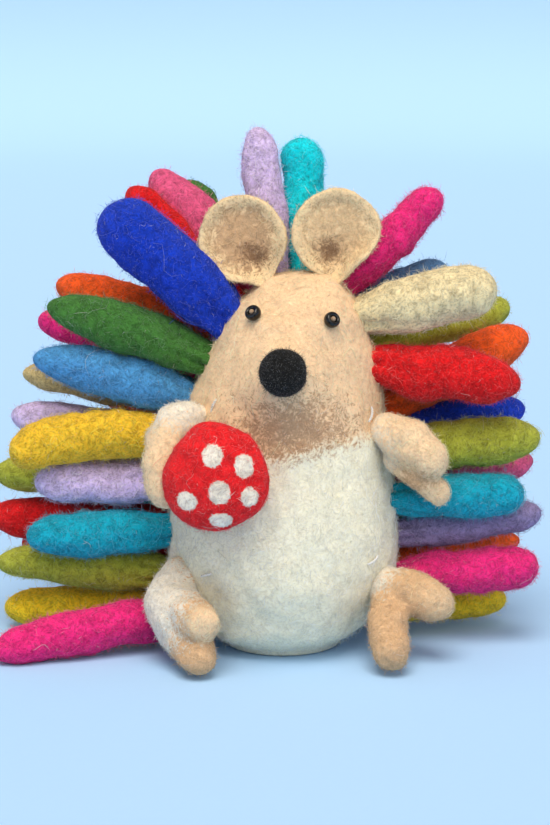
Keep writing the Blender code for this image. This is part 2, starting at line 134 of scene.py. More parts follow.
def slot_of(node: str) -> str:
    """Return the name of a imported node's material slot."""
    return next(row["material_slot"] for row in frame["record"]["subparts"] if row["node"] == node)


def joint_place(child: str) -> Array:
    """Return the point that a body's hinge turns about."""
    return np.array(next(j["pos_m"] for j in frame["joints"] if j["child"] == child))


class Lumps:
    """Smooth random relief: the sum of sine waves of one length that run in random directions."""

    def __init__(self, seed: int, wavelength: float, waves: int = 18) -> None:
        """Choose the waves.

        Args:
            seed: the number that fixes the directions and phases.
            wavelength: the distance from lump to lump, in metres.
            waves: how many waves are added.
        """
        rng = np.random.default_rng(seed)
        self.pulses = unit(rng.normal(size=(waves, 3))) * (TAU / wavelength)
        self.phases = rng.uniform(0.0, TAU, waves)
        self.scale = math.sqrt(2.0 / waves) / 2.0

    def __call__(self, points: Array) -> Array:
        """Return the relief at points, mostly between -1 and 1."""
        return np.sin(points @ self.pulses.T + self.phases).sum(-1) * self.scale


def lumpy(points: Array, seed: int, *layers: tuple[float, float]) -> Array:
    """Return the sum of lumps of several sizes: each layer is their height and length in millimetres."""
    return sum(high * MM * Lumps(seed + k, long * MM)(points) for k, (high, long) in enumerate(layers))


# ---------------------------------------------------------------- meshes from arrays
def mesh_object(name: str, points: Array, quads: Array, tris: Array, corner_uv: Array) -> bpy.types.Object:
    """Make a smooth-shaded mesh object at the origin from whole arrays.

    Args:
        name: the piece's name.
        points: vertex places in metres, one row each.
        quads: vertex numbers of the four-sided faces.
        tris: vertex numbers of the three-sided faces.
        corner_uv: a UV place for each corner, the quads' corners first.

    Returns:
        The new object, linked to the scene.
    """
    mesh = bpy.data.meshes.new(name)
    corners = np.concatenate([quads.ravel(), tris.ravel()]).astype(np.int32)
    starts = np.concatenate([np.arange(len(quads)) * 4, len(quads) * 4 + np.arange(len(tris)) * 3])
    mesh.vertices.add(len(points))
    mesh.vertices.foreach_set("co", points.astype(np.float32).ravel())
    mesh.loops.add(len(corners))
    mesh.loops.foreach_set("vertex_index", corners)
    mesh.polygons.add(len(starts))
    mesh.polygons.foreach_set("loop_start", starts.astype(np.int32))
    mesh.update(calc_edges=True)
    layer = mesh.uv_layers.new(name="UVMap")
    layer.uv.foreach_set("vector", corner_uv.astype(np.float32).ravel())
    mesh.shade_smooth()
    made = bpy.data.objects.new(name, mesh)
    bpy.context.scene.collection.objects.link(made)
    return made


def capped_tube(rings: int, sides: int) -> tuple[Array, Array, Array]:
    """Return the faces of rings of points that are closed by one point at each end.

    Args:
        rings: how many rings there are between the two end points.
        sides: points in each ring.

    Returns:
        The quads, the end triangles, and a UV place for each corner, the quads' corners first.
    """
    k = np.arange(sides)
    after = (k + 1) % sides
    i = np.arange(rings - 1)[:, None]
    low, top = 1 + i * sides, 1 + (rings - 1) * sides
    quads = np.stack([low + k, low + after, low + sides + after, low + sides + k], -1).reshape(-1, 4)
    first = np.stack([0 * k, 1 + after, 1 + k], -1)
    last = np.stack([top + k, top + after, 0 * k + top + sides], -1)
    u = np.broadcast_to(np.stack([k, k + 1, k + 1, k], -1) / sides, (rings - 1, sides, 4))
    v = np.broadcast_to(np.stack([i, i, i + 1, i + 1], -1) + 1.0, (rings - 1, sides, 4))
    left, right, middle = k / sides, (k + 1) / sides, (k + 0.5) / sides
    ends = ((middle, right, left), (0.0, 1.0, 1.0)), ((left, right, middle), (rings, rings, rings + 1.0))
    uv = [np.stack([u, v / (rings + 1)], -1).reshape(-1, 2)]
    for around, along in ends:
        level = np.broadcast_to(np.array(along) / (rings + 1), (sides, 3))
        uv.append(np.stack([np.stack(around, -1), level], -1).reshape(-1, 2))
    return quads, np.concatenate([first, last]), np.concatenate(uv)


@dataclass
class Skin:
    """A finished felt surface as triangles, for fibres to stand on."""

    points: Array
    normals: Array
    triangles: Array
    grain: Array
    radius: float


@dataclass
class ClosedGrid:
    """A closed surface: rings of points from one pole to the other, shaped (rings, sides, 3).

    All points of the first ring are one point, and so are those of the last.
    """

    points: Array

    def __post_init__(self) -> None:
        """Turn the rings round if the surface is inside out."""
        quads, _, _ = self.faces()
        a, b, c, _ = (self.vertices()[quads[:, k]] for k in range(4))
        middle = self.points.mean((0, 1))
        volume = np.einsum("ij,ij->i", np.cross(b - middle, c - middle), a - middle).sum()
        if volume < 0:
            self.points = self.points[:, ::-1]

    def vertices(self) -> Array:
        """Return one row per vertex: a pole, the rings between, and the other pole."""
        return np.vstack([self.points[0, :1], self.points[1:-1].reshape(-1, 3), self.points[-1, :1]])

    def faces(self) -> tuple[Array, Array, Array]:
        """Return the quads between rings, the triangles at the poles, and all corners' UV places."""
        return capped_tube(self.points.shape[0] - 2, self.points.shape[1])

    def normals(self) -> Array:
        """Return outward directions: the cross product of the steps round and along the grid."""
        around = np.roll(self.points, -1, 1) - np.roll(self.points, 1, 1)
        along = np.gradient(self.points, axis=0)
        out = unit(np.cross(around, along))
        out[0] = unit(out[1].mean(0))
        out[-1] = unit(out[-2].mean(0))
        return out

    def pushed(self, height: Array) -> "ClosedGrid":
        """Return the surface moved outwards by a height at each point."""
        height = height.copy()
        height[0], height[-1] = height[0].mean(), height[-1].mean()
        return ClosedGrid(self.points + self.normals() * height[..., None])

    def piece(self, name: str) -> bpy.types.Object:
        """Make the surface's object."""
        quads, tris, uv = self.faces()
        return mesh_object(name, self.vertices(), quads, tris, uv)

    def skin(self, grain: Array, radius: float) -> Skin:
        """Return the surface as triangles, with the direction that it doesn't curve along."""
        quads, _, _ = self.faces()
        normals = self.normals()
        flat = np.vstack([normals[0, :1], normals[1:-1].reshape(-1, 3), normals[-1, :1]])
        triangles = np.concatenate([quads[:, (0, 1, 2)], quads[:, (0, 2, 3)]])
        return Skin(self.vertices(), flat, triangles, grain, radius)


def joined(name: str, surfaces: list[ClosedGrid]) -> bpy.types.Object:
    """Make one object of several closed surfaces, each with its own strip of the UV map."""
    starts = np.cumsum([0] + [len(surface.vertices()) for surface in surfaces])
    faces = [surface.faces() for surface in surfaces]
    quads, tris = (np.vstack([f[k] + start for f, start in zip(faces, starts)]) for k in (0, 1))
    share = len(surfaces)
    strips = [f[2] * (0.96 / share, 1.0) + (number / share, 0.0) for number, f in enumerate(faces)]
    split = [f[0].size for f in faces]
    uv = [strip[:at] for strip, at in zip(strips, split)] + [strip[at:] for strip, at in zip(strips, split)]
    points = np.vstack([surface.vertices() for surface in surfaces])
    return mesh_object(name, points, quads, tris, np.concatenate(uv))


# ---------------------------------------------------------------- shader graphs
class Signal:
    """A shader socket whose arithmetic adds Math nodes."""

    def __init__(self, graph: "Graph", socket: bpy.types.NodeSocket) -> None:
        """Wrap a socket of a graph."""
        self.graph = graph
        self.socket = socket

    def _math(self, operation: str, *values: object) -> "Signal":
        """Add one Math node."""
        return self.graph.node("ShaderNodeMath", {"operation": operation}, dict(enumerate(values)))

    def __add__(self, other: object) -> "Signal":
        """Return self + other."""
        return self._math("ADD", self, other)

    def __radd__(self, other: object) -> "Signal":
        """Return other + self."""
        return self._math("ADD", other, self)

    def __sub__(self, other: object) -> "Signal":
        """Return self - other."""
        return self._math("SUBTRACT", self, other)

    def __rsub__(self, other: object) -> "Signal":
        """Return other - self."""
        return self._math("SUBTRACT", other, self)

    def __mul__(self, other: object) -> "Signal":
        """Return self * other."""
        return self._math("MULTIPLY", self, other)

    def __rmul__(self, other: object) -> "Signal":
        """Return other * self."""
        return self._math("MULTIPLY", other, self)

    def __abs__(self) -> "Signal":
        """Return the size of self without its sign."""
        return self._math("ABSOLUTE", self)

    def at_least(self, other: object) -> "Signal":
        """Return the larger of self and other."""
        return self._math("MAXIMUM", self, other)

    def rising(self, low: float, high: float) -> "Signal":
        """Return 0 below low and 1 above high, with a smooth step between."""
        ends = {"Value": self, "From Min": low, "From Max": high}
        return self.graph.node("ShaderNodeMapRange", {"interpolation_type": "SMOOTHSTEP"}, ends)


class Graph:
    """The nodes of one material, built around its Principled shader."""

    # Directions that felted fibres run in, as turns about X, Y and Z in radians.
    FIBRE_TURNS = (
        (0.0, 0.0, 1.02), (0.0, 0.0, -1.02), (0.0, -0.55, 0.0),
        (0.0, 0.55, 0.0), (0.0, 1.4, 0.5), (0.0, 1.2, 2.2),
    )

    def __init__(self, name: str) -> None:
        """Start a material of this name."""
        self.material = bpy.data.materials.new(name)
        self.material.use_nodes = True
        self.tree = self.material.node_tree
        self.shader = self.tree.nodes["Principled BSDF"]
        self.place = self.node("ShaderNodeTexCoord", output="Object")

    def node(
        self, kind: str, settings: dict | None = None, values: dict | None = None, output: object = 0
    ) -> Signal:
        """Add any node.

        Args:
            kind: the node's type.
            settings: its own settings, which are set first.
            values: numbers, colours or signals for its inputs, by name or number.
            output: the output to return, by name or number.

        Returns:
            The chosen output.
        """
        made = self.tree.nodes.new(kind)
        for key, value in (settings or {}).items():
            setattr(made, key, value)
        for key, value in (values or {}).items():
            self.feed(made.inputs[key], value)
        return Signal(self, made.outputs[output])

    def feed(self, socket: bpy.types.NodeSocket, value: object) -> None:
        """Link a signal to a socket, or set its number or colour."""
        if isinstance(value, Signal):
            self.tree.links.new(value.socket, socket)
        elif socket.type == "RGBA":
            socket.default_value = (*value, 1.0)
        else:
            socket.default_value = value

    def set_shader(self, **inputs: object) -> None:
        """Feed the shader's inputs; an underscore in a name stands for a space."""
        for name, value in inputs.items():
            self.feed(self.shader.inputs[name.replace("_", " ")], value)

    def noise(self, scale: float, detail: float = 2.0, seed: float = 0.0, distortion: float = 0.0) -> Signal:
        """Return smooth noise from 0 to 1 over the piece."""
        values = {"Vector": self.place, "W": seed, "Scale": scale, "Detail": detail, "Distortion": distortion}
        return self.node("ShaderNodeTexNoise", {"noise_dimensions": "4D"}, values)

    def vector(self, operation: str, *values: object, output: object = 0) -> Signal:
        """Add one Vector Math node."""
        inputs = {("Scale" if operation == "SCALE" and k == 1 else k): v for k, v in enumerate(values)}
        return self.node("ShaderNodeVectorMath", {"operation": operation}, inputs, output)

    def fibres(self, across: float, stretch: float = 7.0, wander: float = 4.0 * MM) -> tuple[Signal, Signal]:
        """Draw felted fibres as noises that are stretched along different directions.

        Args:
            across: fibres per metre across their length.
            stretch: a fibre's length over its width.
            wander: how far a slow noise pushes the fibres off their straight lines.

        Returns:
            The average tone of the fibres, near 0.5, and the thin lines where a noise crosses its
            middle value.
        """
        bends = {"Vector": self.place, "Scale": 260.0, "Detail": 1.0}
        slow = self.node("ShaderNodeTexNoise", {}, bends, "Color")
        moved = self.vector("ADD", self.place, self.vector("SCALE", slow, wander))
        size = (stretch / across, 1.0 / across, 1.0 / across)
        tone: object = 0.0
        line: object = 0.0
        for turn in self.FIBRE_TURNS:
            laid = {"Vector": moved, "Rotation": turn, "Scale": size}
            spun = self.node("ShaderNodeMapping", {"vector_type": "TEXTURE"}, laid)
            grain = self.node("ShaderNodeTexNoise", {}, {"Vector": spun, "Scale": 1.0, "Detail": 1.0})
            tone = grain * (1.0 / len(self.FIBRE_TURNS)) + tone
            line = (1.0 - abs(grain - 0.5).rising(0.0, 0.022)).at_least(line)
        return tone, line

    def mix(self, share: object, low: object, high: object) -> Signal:
        """Return the colour low where share is 0 and high where it is 1."""
        values = {"Factor": share, 6: low, 7: high}
        return self.node("ShaderNodeMix", {"data_type": "RGBA"}, values, 2)

    def distance(self, centre: Array, radii: Array) -> Signal:
        """Return how far the place is from a centre, counted in radii along each axis."""
        scaled = self.vector("DIVIDE", self.vector("SUBTRACT", self.place, tuple(centre)), tuple(radii))
        return self.vector("LENGTH", scaled, output="Value")

    def along(self, direction: Array) -> Signal:
        """Return the place's distance along a direction."""
        return self.vector("DOT_PRODUCT", self.place, tuple(direction), output="Value")

    def finish(self, colour: Signal, height: Signal, relief: float, strength: float) -> bpy.types.Material:
        """Feed the shader's colour and bump, and return the material.

        Args:
            colour: the surface's colour.
            height: the relief from 0 to 1.
            relief: how deep the relief is, in metres.
            strength: how strongly it turns the light.

        Returns:
            The finished material.
        """
        bump = self.node("ShaderNodeBump", {}, {"Height": height, "Distance": relief, "Strength": strength})
        self.set_shader(Base_Color=colour, Normal=bump)
        return self.material


# ---------------------------------------------------------------- colour zones
@dataclass(frozen=True)
class BallZone:
    """A soft-edged ball in which another colour of wool was felted in.

    Its weight is 1 inside the core, 0 outside 1 radius, and a smooth step between. Noise frays the edge.
    """

    colour: Colour
    centre: tuple[float, float, float]
    radii: tuple[float, float, float]
    core: float = 0.5
    strength: float = 1.0
    ragged: float = 1.0

    def weight(self, points: Array) -> Array:
        """Return the zone's share at points."""
        away = np.linalg.norm((points - np.array(self.centre)) / np.array(self.radii), axis=-1)
        return self.strength * (1.0 - smooth_step(self.core, 1.0, away))

    def signal(self, graph: Graph, fray: Signal) -> Signal:
        """Return the zone's share in a material."""
        away = graph.distance(np.array(self.centre), np.array(self.radii)) + fray * self.ragged
        return (1.0 - away.rising(self.core, 1.0)) * self.strength


@dataclass(frozen=True)
class PlaneZone:
    """A half space in which another colour of wool was felted in, with a soft frayed border."""

    colour: Colour
    through: tuple[float, float, float]
    towards: tuple[float, float, float]
    softness: float
    strength: float = 1.0

    def weight(self, points: Array) -> Array:
        """Return the zone's share at points."""
        facing = unit(np.array(self.towards))
        ahead = (points - np.array(self.through)) @ facing
        return self.strength * smooth_step(-0.5 * self.softness, 0.5 * self.softness, ahead)

    def signal(self, graph: Graph, fray: Signal) -> Signal:
        """Return the zone's share in a material."""
        facing = unit(np.array(self.towards))
        offset = float(np.array(self.through) @ facing)
        ahead = graph.along(facing) + fray * (1.2 * self.softness)
        return ahead.rising(offset - 0.5 * self.softness, offset + 0.5 * self.softness) * self.strength


# ---------------------------------------------------------------- finishes
class Finish:
    """Something that a surface is made of, with one material."""

    name: str

    def material(self) -> bpy.types.Material:
        """Return the finish's material, which is made when it's first asked for."""
        return bpy.data.materials.get(self.name) or self.painted(Graph(self.name))


@dataclass(frozen=True)
class WoolFelt(Finish):
    """Felted wool: fibres of paler and darker shades that cross each other in every direction."""

    FIBRES: ClassVar[float] = 1900.0  # per metre across their length
    MOTTLES: ClassVar[float] = 420.0  # per metre
    DEEP: ClassVar[Colour] = (0.22, 0.19, 0.18)  # the dark between fibres, as shares of the base
    STRAY: ClassVar[Colour] = (0.80, 0.78, 0.74)

    name: str
    base: Colour
    zones: tuple = ()
    paler: float = 0.38
    contrast: float = 0.52
    cloud: float = 0.26
    stray: float = 0.03
    sheen: float = 0.05

    def shades(self, colour: Array) -> Array:
        """Return the paler shade of a colour: half as bright again, and a little towards white."""
        return np.minimum(np.asarray(colour) * 1.6 + 0.04, 1.0)

    def tint(self, points: Array, rng: np.random.Generator, pale: float) -> Array:
        """Return a colour for each loose fibre from where it stands.

        Args:
            points: where the fibres stand.
            rng: the random numbers.
            pale: the power that makes most fibres dark (above 1) or pale (below 1).

        Returns:
            The colours, with a few stray pale ones.
        """
        count = len(points)
        colour = np.tile(np.array(self.base), (count, 1))
        for zone in self.zones:
            share = zone.weight(points)[:, None]
            colour = colour * (1 - share) + np.array(zone.colour) * share
        fade = rng.uniform(0.0, 1.0, count)[:, None] ** pale
        colour = colour * (1 - fade) + self.shades(colour) * fade
        stray = (rng.random(count) < self.stray)[:, None] * rng.uniform(0.3, 0.9, (count, 1))
        colour = colour * (1 - stray) + np.array(self.STRAY) * stray
        return np.clip(colour * rng.uniform(0.75, 1.2, count)[:, None], 0.0, 1.0)

    def painted(self, graph: Graph) -> bpy.types.Material:
        """Return the felt's material: dark and pale fibres, mottled, in the colours of its zones."""
        tone, line = graph.fibres(self.FIBRES)
        mottle = graph.noise(self.MOTTLES, 3.0, 1.7, 0.4)
        fray = (tone - 0.5) * 3.4 + (mottle - 0.5) * 0.7
        colour: object = self.base
        pale: object = tuple(self.shades(self.base))
        for zone in self.zones:
            share = zone.signal(graph, fray)
            colour = graph.mix(share, colour, zone.colour)
            pale = graph.mix(share, pale, tuple(self.shades(zone.colour)))
        deep = tuple(share * channel for share, channel in zip(self.DEEP, self.base))
        dark = graph.mix(self.contrast, colour, deep)
        colour = graph.mix(tone.rising(0.42, 0.55), dark, colour)
        colour = graph.mix(line * self.paler, colour, pale)
        light = mottle.rising(0.34, 0.60) * self.cloud + (1.0 - self.cloud)
        colour = graph.mix(light, (0.0, 0.0, 0.0), colour)
        graph.set_shader(Roughness=0.95, Specular_IOR_Level=0.12)
        graph.set_shader(Sheen_Weight=self.sheen, Sheen_Roughness=0.5)
        return graph.finish(colour, tone + line * 0.12, 0.50 * MM, 0.7)


@dataclass(frozen=True)
class FibreWool(Finish):
    """The loose fibres: their own colour from the mesh, with a little variation along them."""

    name: str = "loose_fibres"

    def painted(self, graph: Graph) -> bpy.types.Material:
        """Return the fibres' material."""
        own = graph.node("ShaderNodeAttribute", {"attribute_name": "strand"}, output="Color")
        flicker = graph.noise(900.0, 1.0, 2.2).rising(0.2, 0.8)
        dim = graph.mix(0.18, own, (0.2, 0.2, 0.2))
        colour = graph.mix(flicker, dim, own)
        graph.set_shader(Roughness=0.8, Specular_IOR_Level=0.2, Sheen_Weight=0.3)
        return graph.finish(colour, flicker, 0.01 * MM, 0.2)


@dataclass(frozen=True)
class BeadGlass(Finish):
    """Black glass with a glossy coat and faint moulding ripples."""

    name: str = "black_bead_glass"

    def painted(self, graph: Graph) -> bpy.types.Material:
        """Return the glass's material."""
        cloud = graph.noise(700.0, 2.0, 4.4)
        colour = graph.mix(cloud.rising(0.35, 0.75), (0.002, 0.002, 0.002), (0.012, 0.011, 0.012))
        rough = cloud * 0.12 + 0.04
        graph.set_shader(Roughness=rough, Specular_IOR_Level=0.25, Coat_Weight=0.35, Coat_Roughness=0.03)
        return graph.finish(colour, cloud, 0.02 * MM, 0.25)


@dataclass(frozen=True)
class TwistedThread(Finish):
    """Cotton thread with fine fibres along it."""

    name: str = "white_thread"
    low: Colour = (0.55, 0.53, 0.50)
    high: Colour = (0.92, 0.91, 0.89)

    def painted(self, graph: Graph) -> bpy.types.Material:
        """Return the thread's material."""
        fibres = graph.noise(5200.0, 2.0, 6.6, 1.0)
        colour = graph.mix(fibres.rising(0.3, 0.7), self.low, self.high)
        graph.set_shader(Roughness=0.7, Sheen_Weight=0.2)
        return graph.finish(colour, fibres, 0.03 * MM, 0.6)


@dataclass(frozen=True)
class PaperSweep(Finish):
    """Matt pale paper for the floor, with painted shade that makes it darker up its wall."""

    name: str = "pale_paper"

    def painted(self, graph: Graph) -> bpy.types.Material:
        """Return the paper's material."""
        tooth = graph.noise(500.0, 3.0, 1.1)
        paper = graph.mix(tooth, (0.41, 0.64, 0.94), (0.425, 0.655, 0.955))
        # Painted shade: the paper colour darkens with height up the wall, standing in for the dimmer light that
        # reaches it.
        wall = graph.along(UP).rising(0.0, 0.14)
        colour = graph.mix(wall, paper, (0.32, 0.50, 0.87))
        graph.set_shader(Roughness=0.9, Specular_IOR_Level=0.1)
        return graph.finish(colour, tooth, 0.02 * MM, 0.05)


# ---------------------------------------------------------------- loose fibres
@dataclass(frozen=True)
class FibreCoat:
    """Loose wool fibres on a felt surface.

    Each is a closed tube of three sides. Its middle line runs along the surface in a random
    direction, curls sideways as a sine wave, follows the curve of what it lies on, and rises.
    """

    SIDES: ClassVar[int] = 3
    CELL_MARGIN: ClassVar[float] = 0.06

    curls: int
    fuzz: int
    length: float = 3.4 * MM
    rise: float = 0.85 * MM
    thickness: float = 0.075 * MM

    def lines(self, skin: Skin, rng: np.random.Generator, standing: bool) -> tuple[Array, Array]:
        """Place the middle lines of the curls or of the fuzz.

        Args:
            skin: the surface.
            rng: the random numbers.
            standing: whether these are the short fibres that stand up.

        Returns:
            The lines that stay above the ground, shaped (fibres, steps, 3), and their roots.
        """
        corners = skin.points[skin.triangles]
        area = np.linalg.norm(np.cross(corners[:, 1] - corners[:, 0], corners[:, 2] - corners[:, 0]), axis=1)
        count = self.fuzz if standing else self.curls
        pick = rng.choice(len(area), count, p=area / area.sum())
        weights = rng.dirichlet((1.0, 1.0, 1.0), count)[..., None]
        root = (corners[pick] * weights).sum(1)
        out = unit((skin.normals[skin.triangles[pick]] * weights).sum(1))
        ahead = rng.normal(size=(count, 3))
        ahead = unit(ahead - (ahead * out).sum(-1, keepdims=True) * out)
        side = np.cross(out, ahead)
        one = (count, 1)
        t = np.linspace(0.0, 1.0, 3 if standing else 7)[None, :]
        if standing:
            run = t * self.rise * rng.uniform(0.3, 2.2, one)
            height = self.rise * rng.lognormal(-0.15, 0.5, one) * t ** rng.uniform(0.6, 1.4, one) - 0.08 * MM
            curl = 0.35 * self.rise * rng.normal(0.0, 1.0, one) * t * t
        else:
            size = self.length * rng.lognormal(0.0, 0.45, one)
            run = (t - 0.5) * size
            height = self.rise * rng.uniform(0.0, 0.7, one) * np.sin(math.pi * t) + 0.02 * MM
            curl = 0.18 * size * np.sin(TAU * (t * rng.uniform(0.3, 1.3, one) + rng.random(one)))
        bend: object = 1.0
        if skin.grain.any():
            across = unit(np.cross(skin.grain, out))
            bend = (ahead * across).sum(-1, keepdims=True) ** 2
        drop = bend * run ** 2 / (2.0 * skin.radius)
        line = root[:, None] + ahead[:, None] * run[..., None] + side[:, None] * curl[..., None]
        line = line + out[:, None] * (height - drop)[..., None]
        clear = line[..., 2].min(1) > 0.1 * MM
        return line[clear], root[clear]

    def piece(self, name: str, skin: Skin, felt: WoolFelt, seed: int) -> bpy.types.Object:
        """Make the fibres of one felt piece.

        Args:
            name: the piece's name.
            skin: the surface that they stand on.
            felt: its finish, which tints them.
            seed: the number that fixes them.

        Returns:
            The fibres as one object, each with its own cell of the UV map.
        """
        rng = np.random.default_rng(seed)
        parts = [self._tubes(*self.lines(skin, rng, standing), felt, rng) for standing in (False, True)]
        shift = len(parts[0][0])
        points, tints = (np.concatenate([part[k] for part in parts]) for k in (0, 1))
        quads, tris = (np.concatenate([parts[0][k], parts[1][k] + shift]) for k in (2, 3))
        halves = [part[k] * (0.49, 1.0) + (0.5 * i, 0.0) for k in (4, 5) for i, part in enumerate(parts)]
        made = mesh_object(name, points, quads, tris, np.concatenate(halves))
        layer = made.data.attributes.new("strand", "FLOAT_COLOR", "POINT")
        layer.data.foreach_set("color", tints.astype(np.float32).ravel())
        return made

    def _tubes(self, line: Array, root: Array, felt: WoolFelt, rng: np.random.Generator) -> tuple[Array, ...]:
        """Return points, their colours, quads, triangles, and the UV places of each kind's corners."""
        count, rings = len(line), line.shape[1] - 2
        ahead = unit(np.gradient(line, axis=1))
        side = unit(np.cross(ahead, unit(rng.normal(size=(count, 1, 3)))))
        other = np.cross(ahead, side)
        girth = 0.5 * self.thickness * rng.uniform(0.7, 1.3, (count, 1, 1, 1))
        turn = circle(self.SIDES)[:, None]
        spokes = side[:, 1:-1, None] * np.cos(turn) + other[:, 1:-1, None] * np.sin(turn)
        tube = line[:, 1:-1, None] + girth * spokes
        points = np.concatenate([line[:, :1], tube.reshape(count, -1, 3), line[:, -1:]], 1)
        size = points.shape[1]
        quads, tris, uv = capped_tube(rings, self.SIDES)
        shift = np.arange(count)[:, None, None] * size
        rgba = np.concatenate([felt.tint(root, rng, 1.5 if rings < 2 else 0.6), np.ones((count, 1))], 1)
        faces = (quads + shift).reshape(-1, 4), (tris + shift).reshape(-1, 3)
        places = (self._cells(count, part) for part in (uv[: quads.size], uv[quads.size :]))
        return points.reshape(-1, 3), np.repeat(rgba, size, 0), *faces, *places

    def _cells(self, count: int, uv: Array) -> Array:
        """Return one fibre's UV places copied into the cells of a square grid, one cell for each fibre."""
        cells = math.ceil(math.sqrt(count))
        number = np.arange(count)
        corner = np.stack([number % cells, number // cells], -1) / cells
        inner = self.CELL_MARGIN + (1.0 - 2.0 * self.CELL_MARGIN) * uv[:, ::-1]
        return (corner[:, None] + inner[None] / cells).reshape(-1, 2)


def dress(piece: bpy.types.Object, finish: Finish, body: str, node: str | None = None) -> None:
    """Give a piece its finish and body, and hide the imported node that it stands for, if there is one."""
    piece.data.materials.append(finish.material())
    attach(piece, body)
    if node:
        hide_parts(node)


def add_coat(name: str, coat: FibreCoat, skin: Skin, felt: WoolFelt, seed: int, body: str) -> None:
    """Add a felt piece's loose fibres, which ride with it."""
    fibres = coat.piece(f"{name}_fibres", skin, felt, seed)
    dress(fibres, FibreWool(), body)


# ---------------------------------------------------------------- felt fingers
class Tip(Enum):
    """The shape of a quill's end: how long its rounding is in half heights, and how far it tapers."""

    BLUNT = (1.15, 0.06)
    ROUND = (1.6, 0.14)
    POINTED = (2.1, 0.24)


@dataclass
class Spine:
    """Centre line and thickness of a felt finger."""

    start: Array
    ahead: Array
    length: float
    bow: Array
    up: Array
    across: Array
    half_height: float
    half_depth: float

    @classmethod
    def aimed(cls, start: Array, ahead: Array, length: float, bow: Array, *halves: float) -> "Spine":
        """Return a spine whose thickness is measured upwards and sideways.

        Args:
            start: where the line starts.
            ahead: its direction.
            length: its length.
            bow: the coefficients of t^2, t and 1 that bend it.
            halves: half its thickness upwards and sideways.

        Returns:
            The spine.
        """
        up = unit(UP - (UP @ ahead) * ahead)
        return cls(start, ahead, length, bow, up, np.cross(ahead, up), *halves)

    @classmethod
    def of_node(cls, node: str, hub: Array) -> "Spine":
        """Read a finger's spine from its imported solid, running away from a hub inside the body.

        The line is the solid's longest direction plus the square curve that fits its rings best.
        """
        points = node_points(node)
        middle = points.mean(0)
        ahead = main_axes(points)[0]
        span = (points - middle) @ ahead
        near, far = middle + ahead * span.min(), middle + ahead * span.max()
        if np.linalg.norm(near - hub) > np.linalg.norm(far - hub):
            ahead, span = -ahead, -span
        length = np.ptp(span)
        share = (span - span.min()) / length
        aside = points - middle - np.outer(span, ahead)
        bow = np.polyfit(share, aside, 2)
        up = unit(UP - (UP @ ahead) * ahead)
        sides = up, np.cross(ahead, up)
        spread = aside - share[:, None] ** 2 * bow[0] - share[:, None] * bow[1] - bow[2]
        start = middle + ahead * span.min()
        return cls.aimed(start, ahead, length, bow, *(np.abs(spread @ side).max() for side in sides))

    def tuned(self, girth: float, shift: tuple[float, float, float]) -> "Spine":
        """Return the spine with another girth share, and its tip moved by some millimetres."""
        reach = self.ahead * self.length + np.array(shift) * MM
        length = float(np.linalg.norm(reach))
        halves = (girth * half for half in (self.half_height, self.half_depth))
        return Spine.aimed(self.start, reach / length, length, self.bow, *halves)

    def deeper(self, by: float) -> "Spine":
        """Return the spine with its root further inside the body."""
        return replace(self, start=self.start - by * self.ahead, length=self.length + by)

    def at(self, share: Array) -> Array:
        """Return points on the line: start + ahead * length * t + bow0 t^2 + bow1 t + bow2."""
        t = share[..., None]
        straight = self.start + self.ahead * (self.length * t)
        return straight + self.bow[0] * t * t + self.bow[1] * t + self.bow[2]


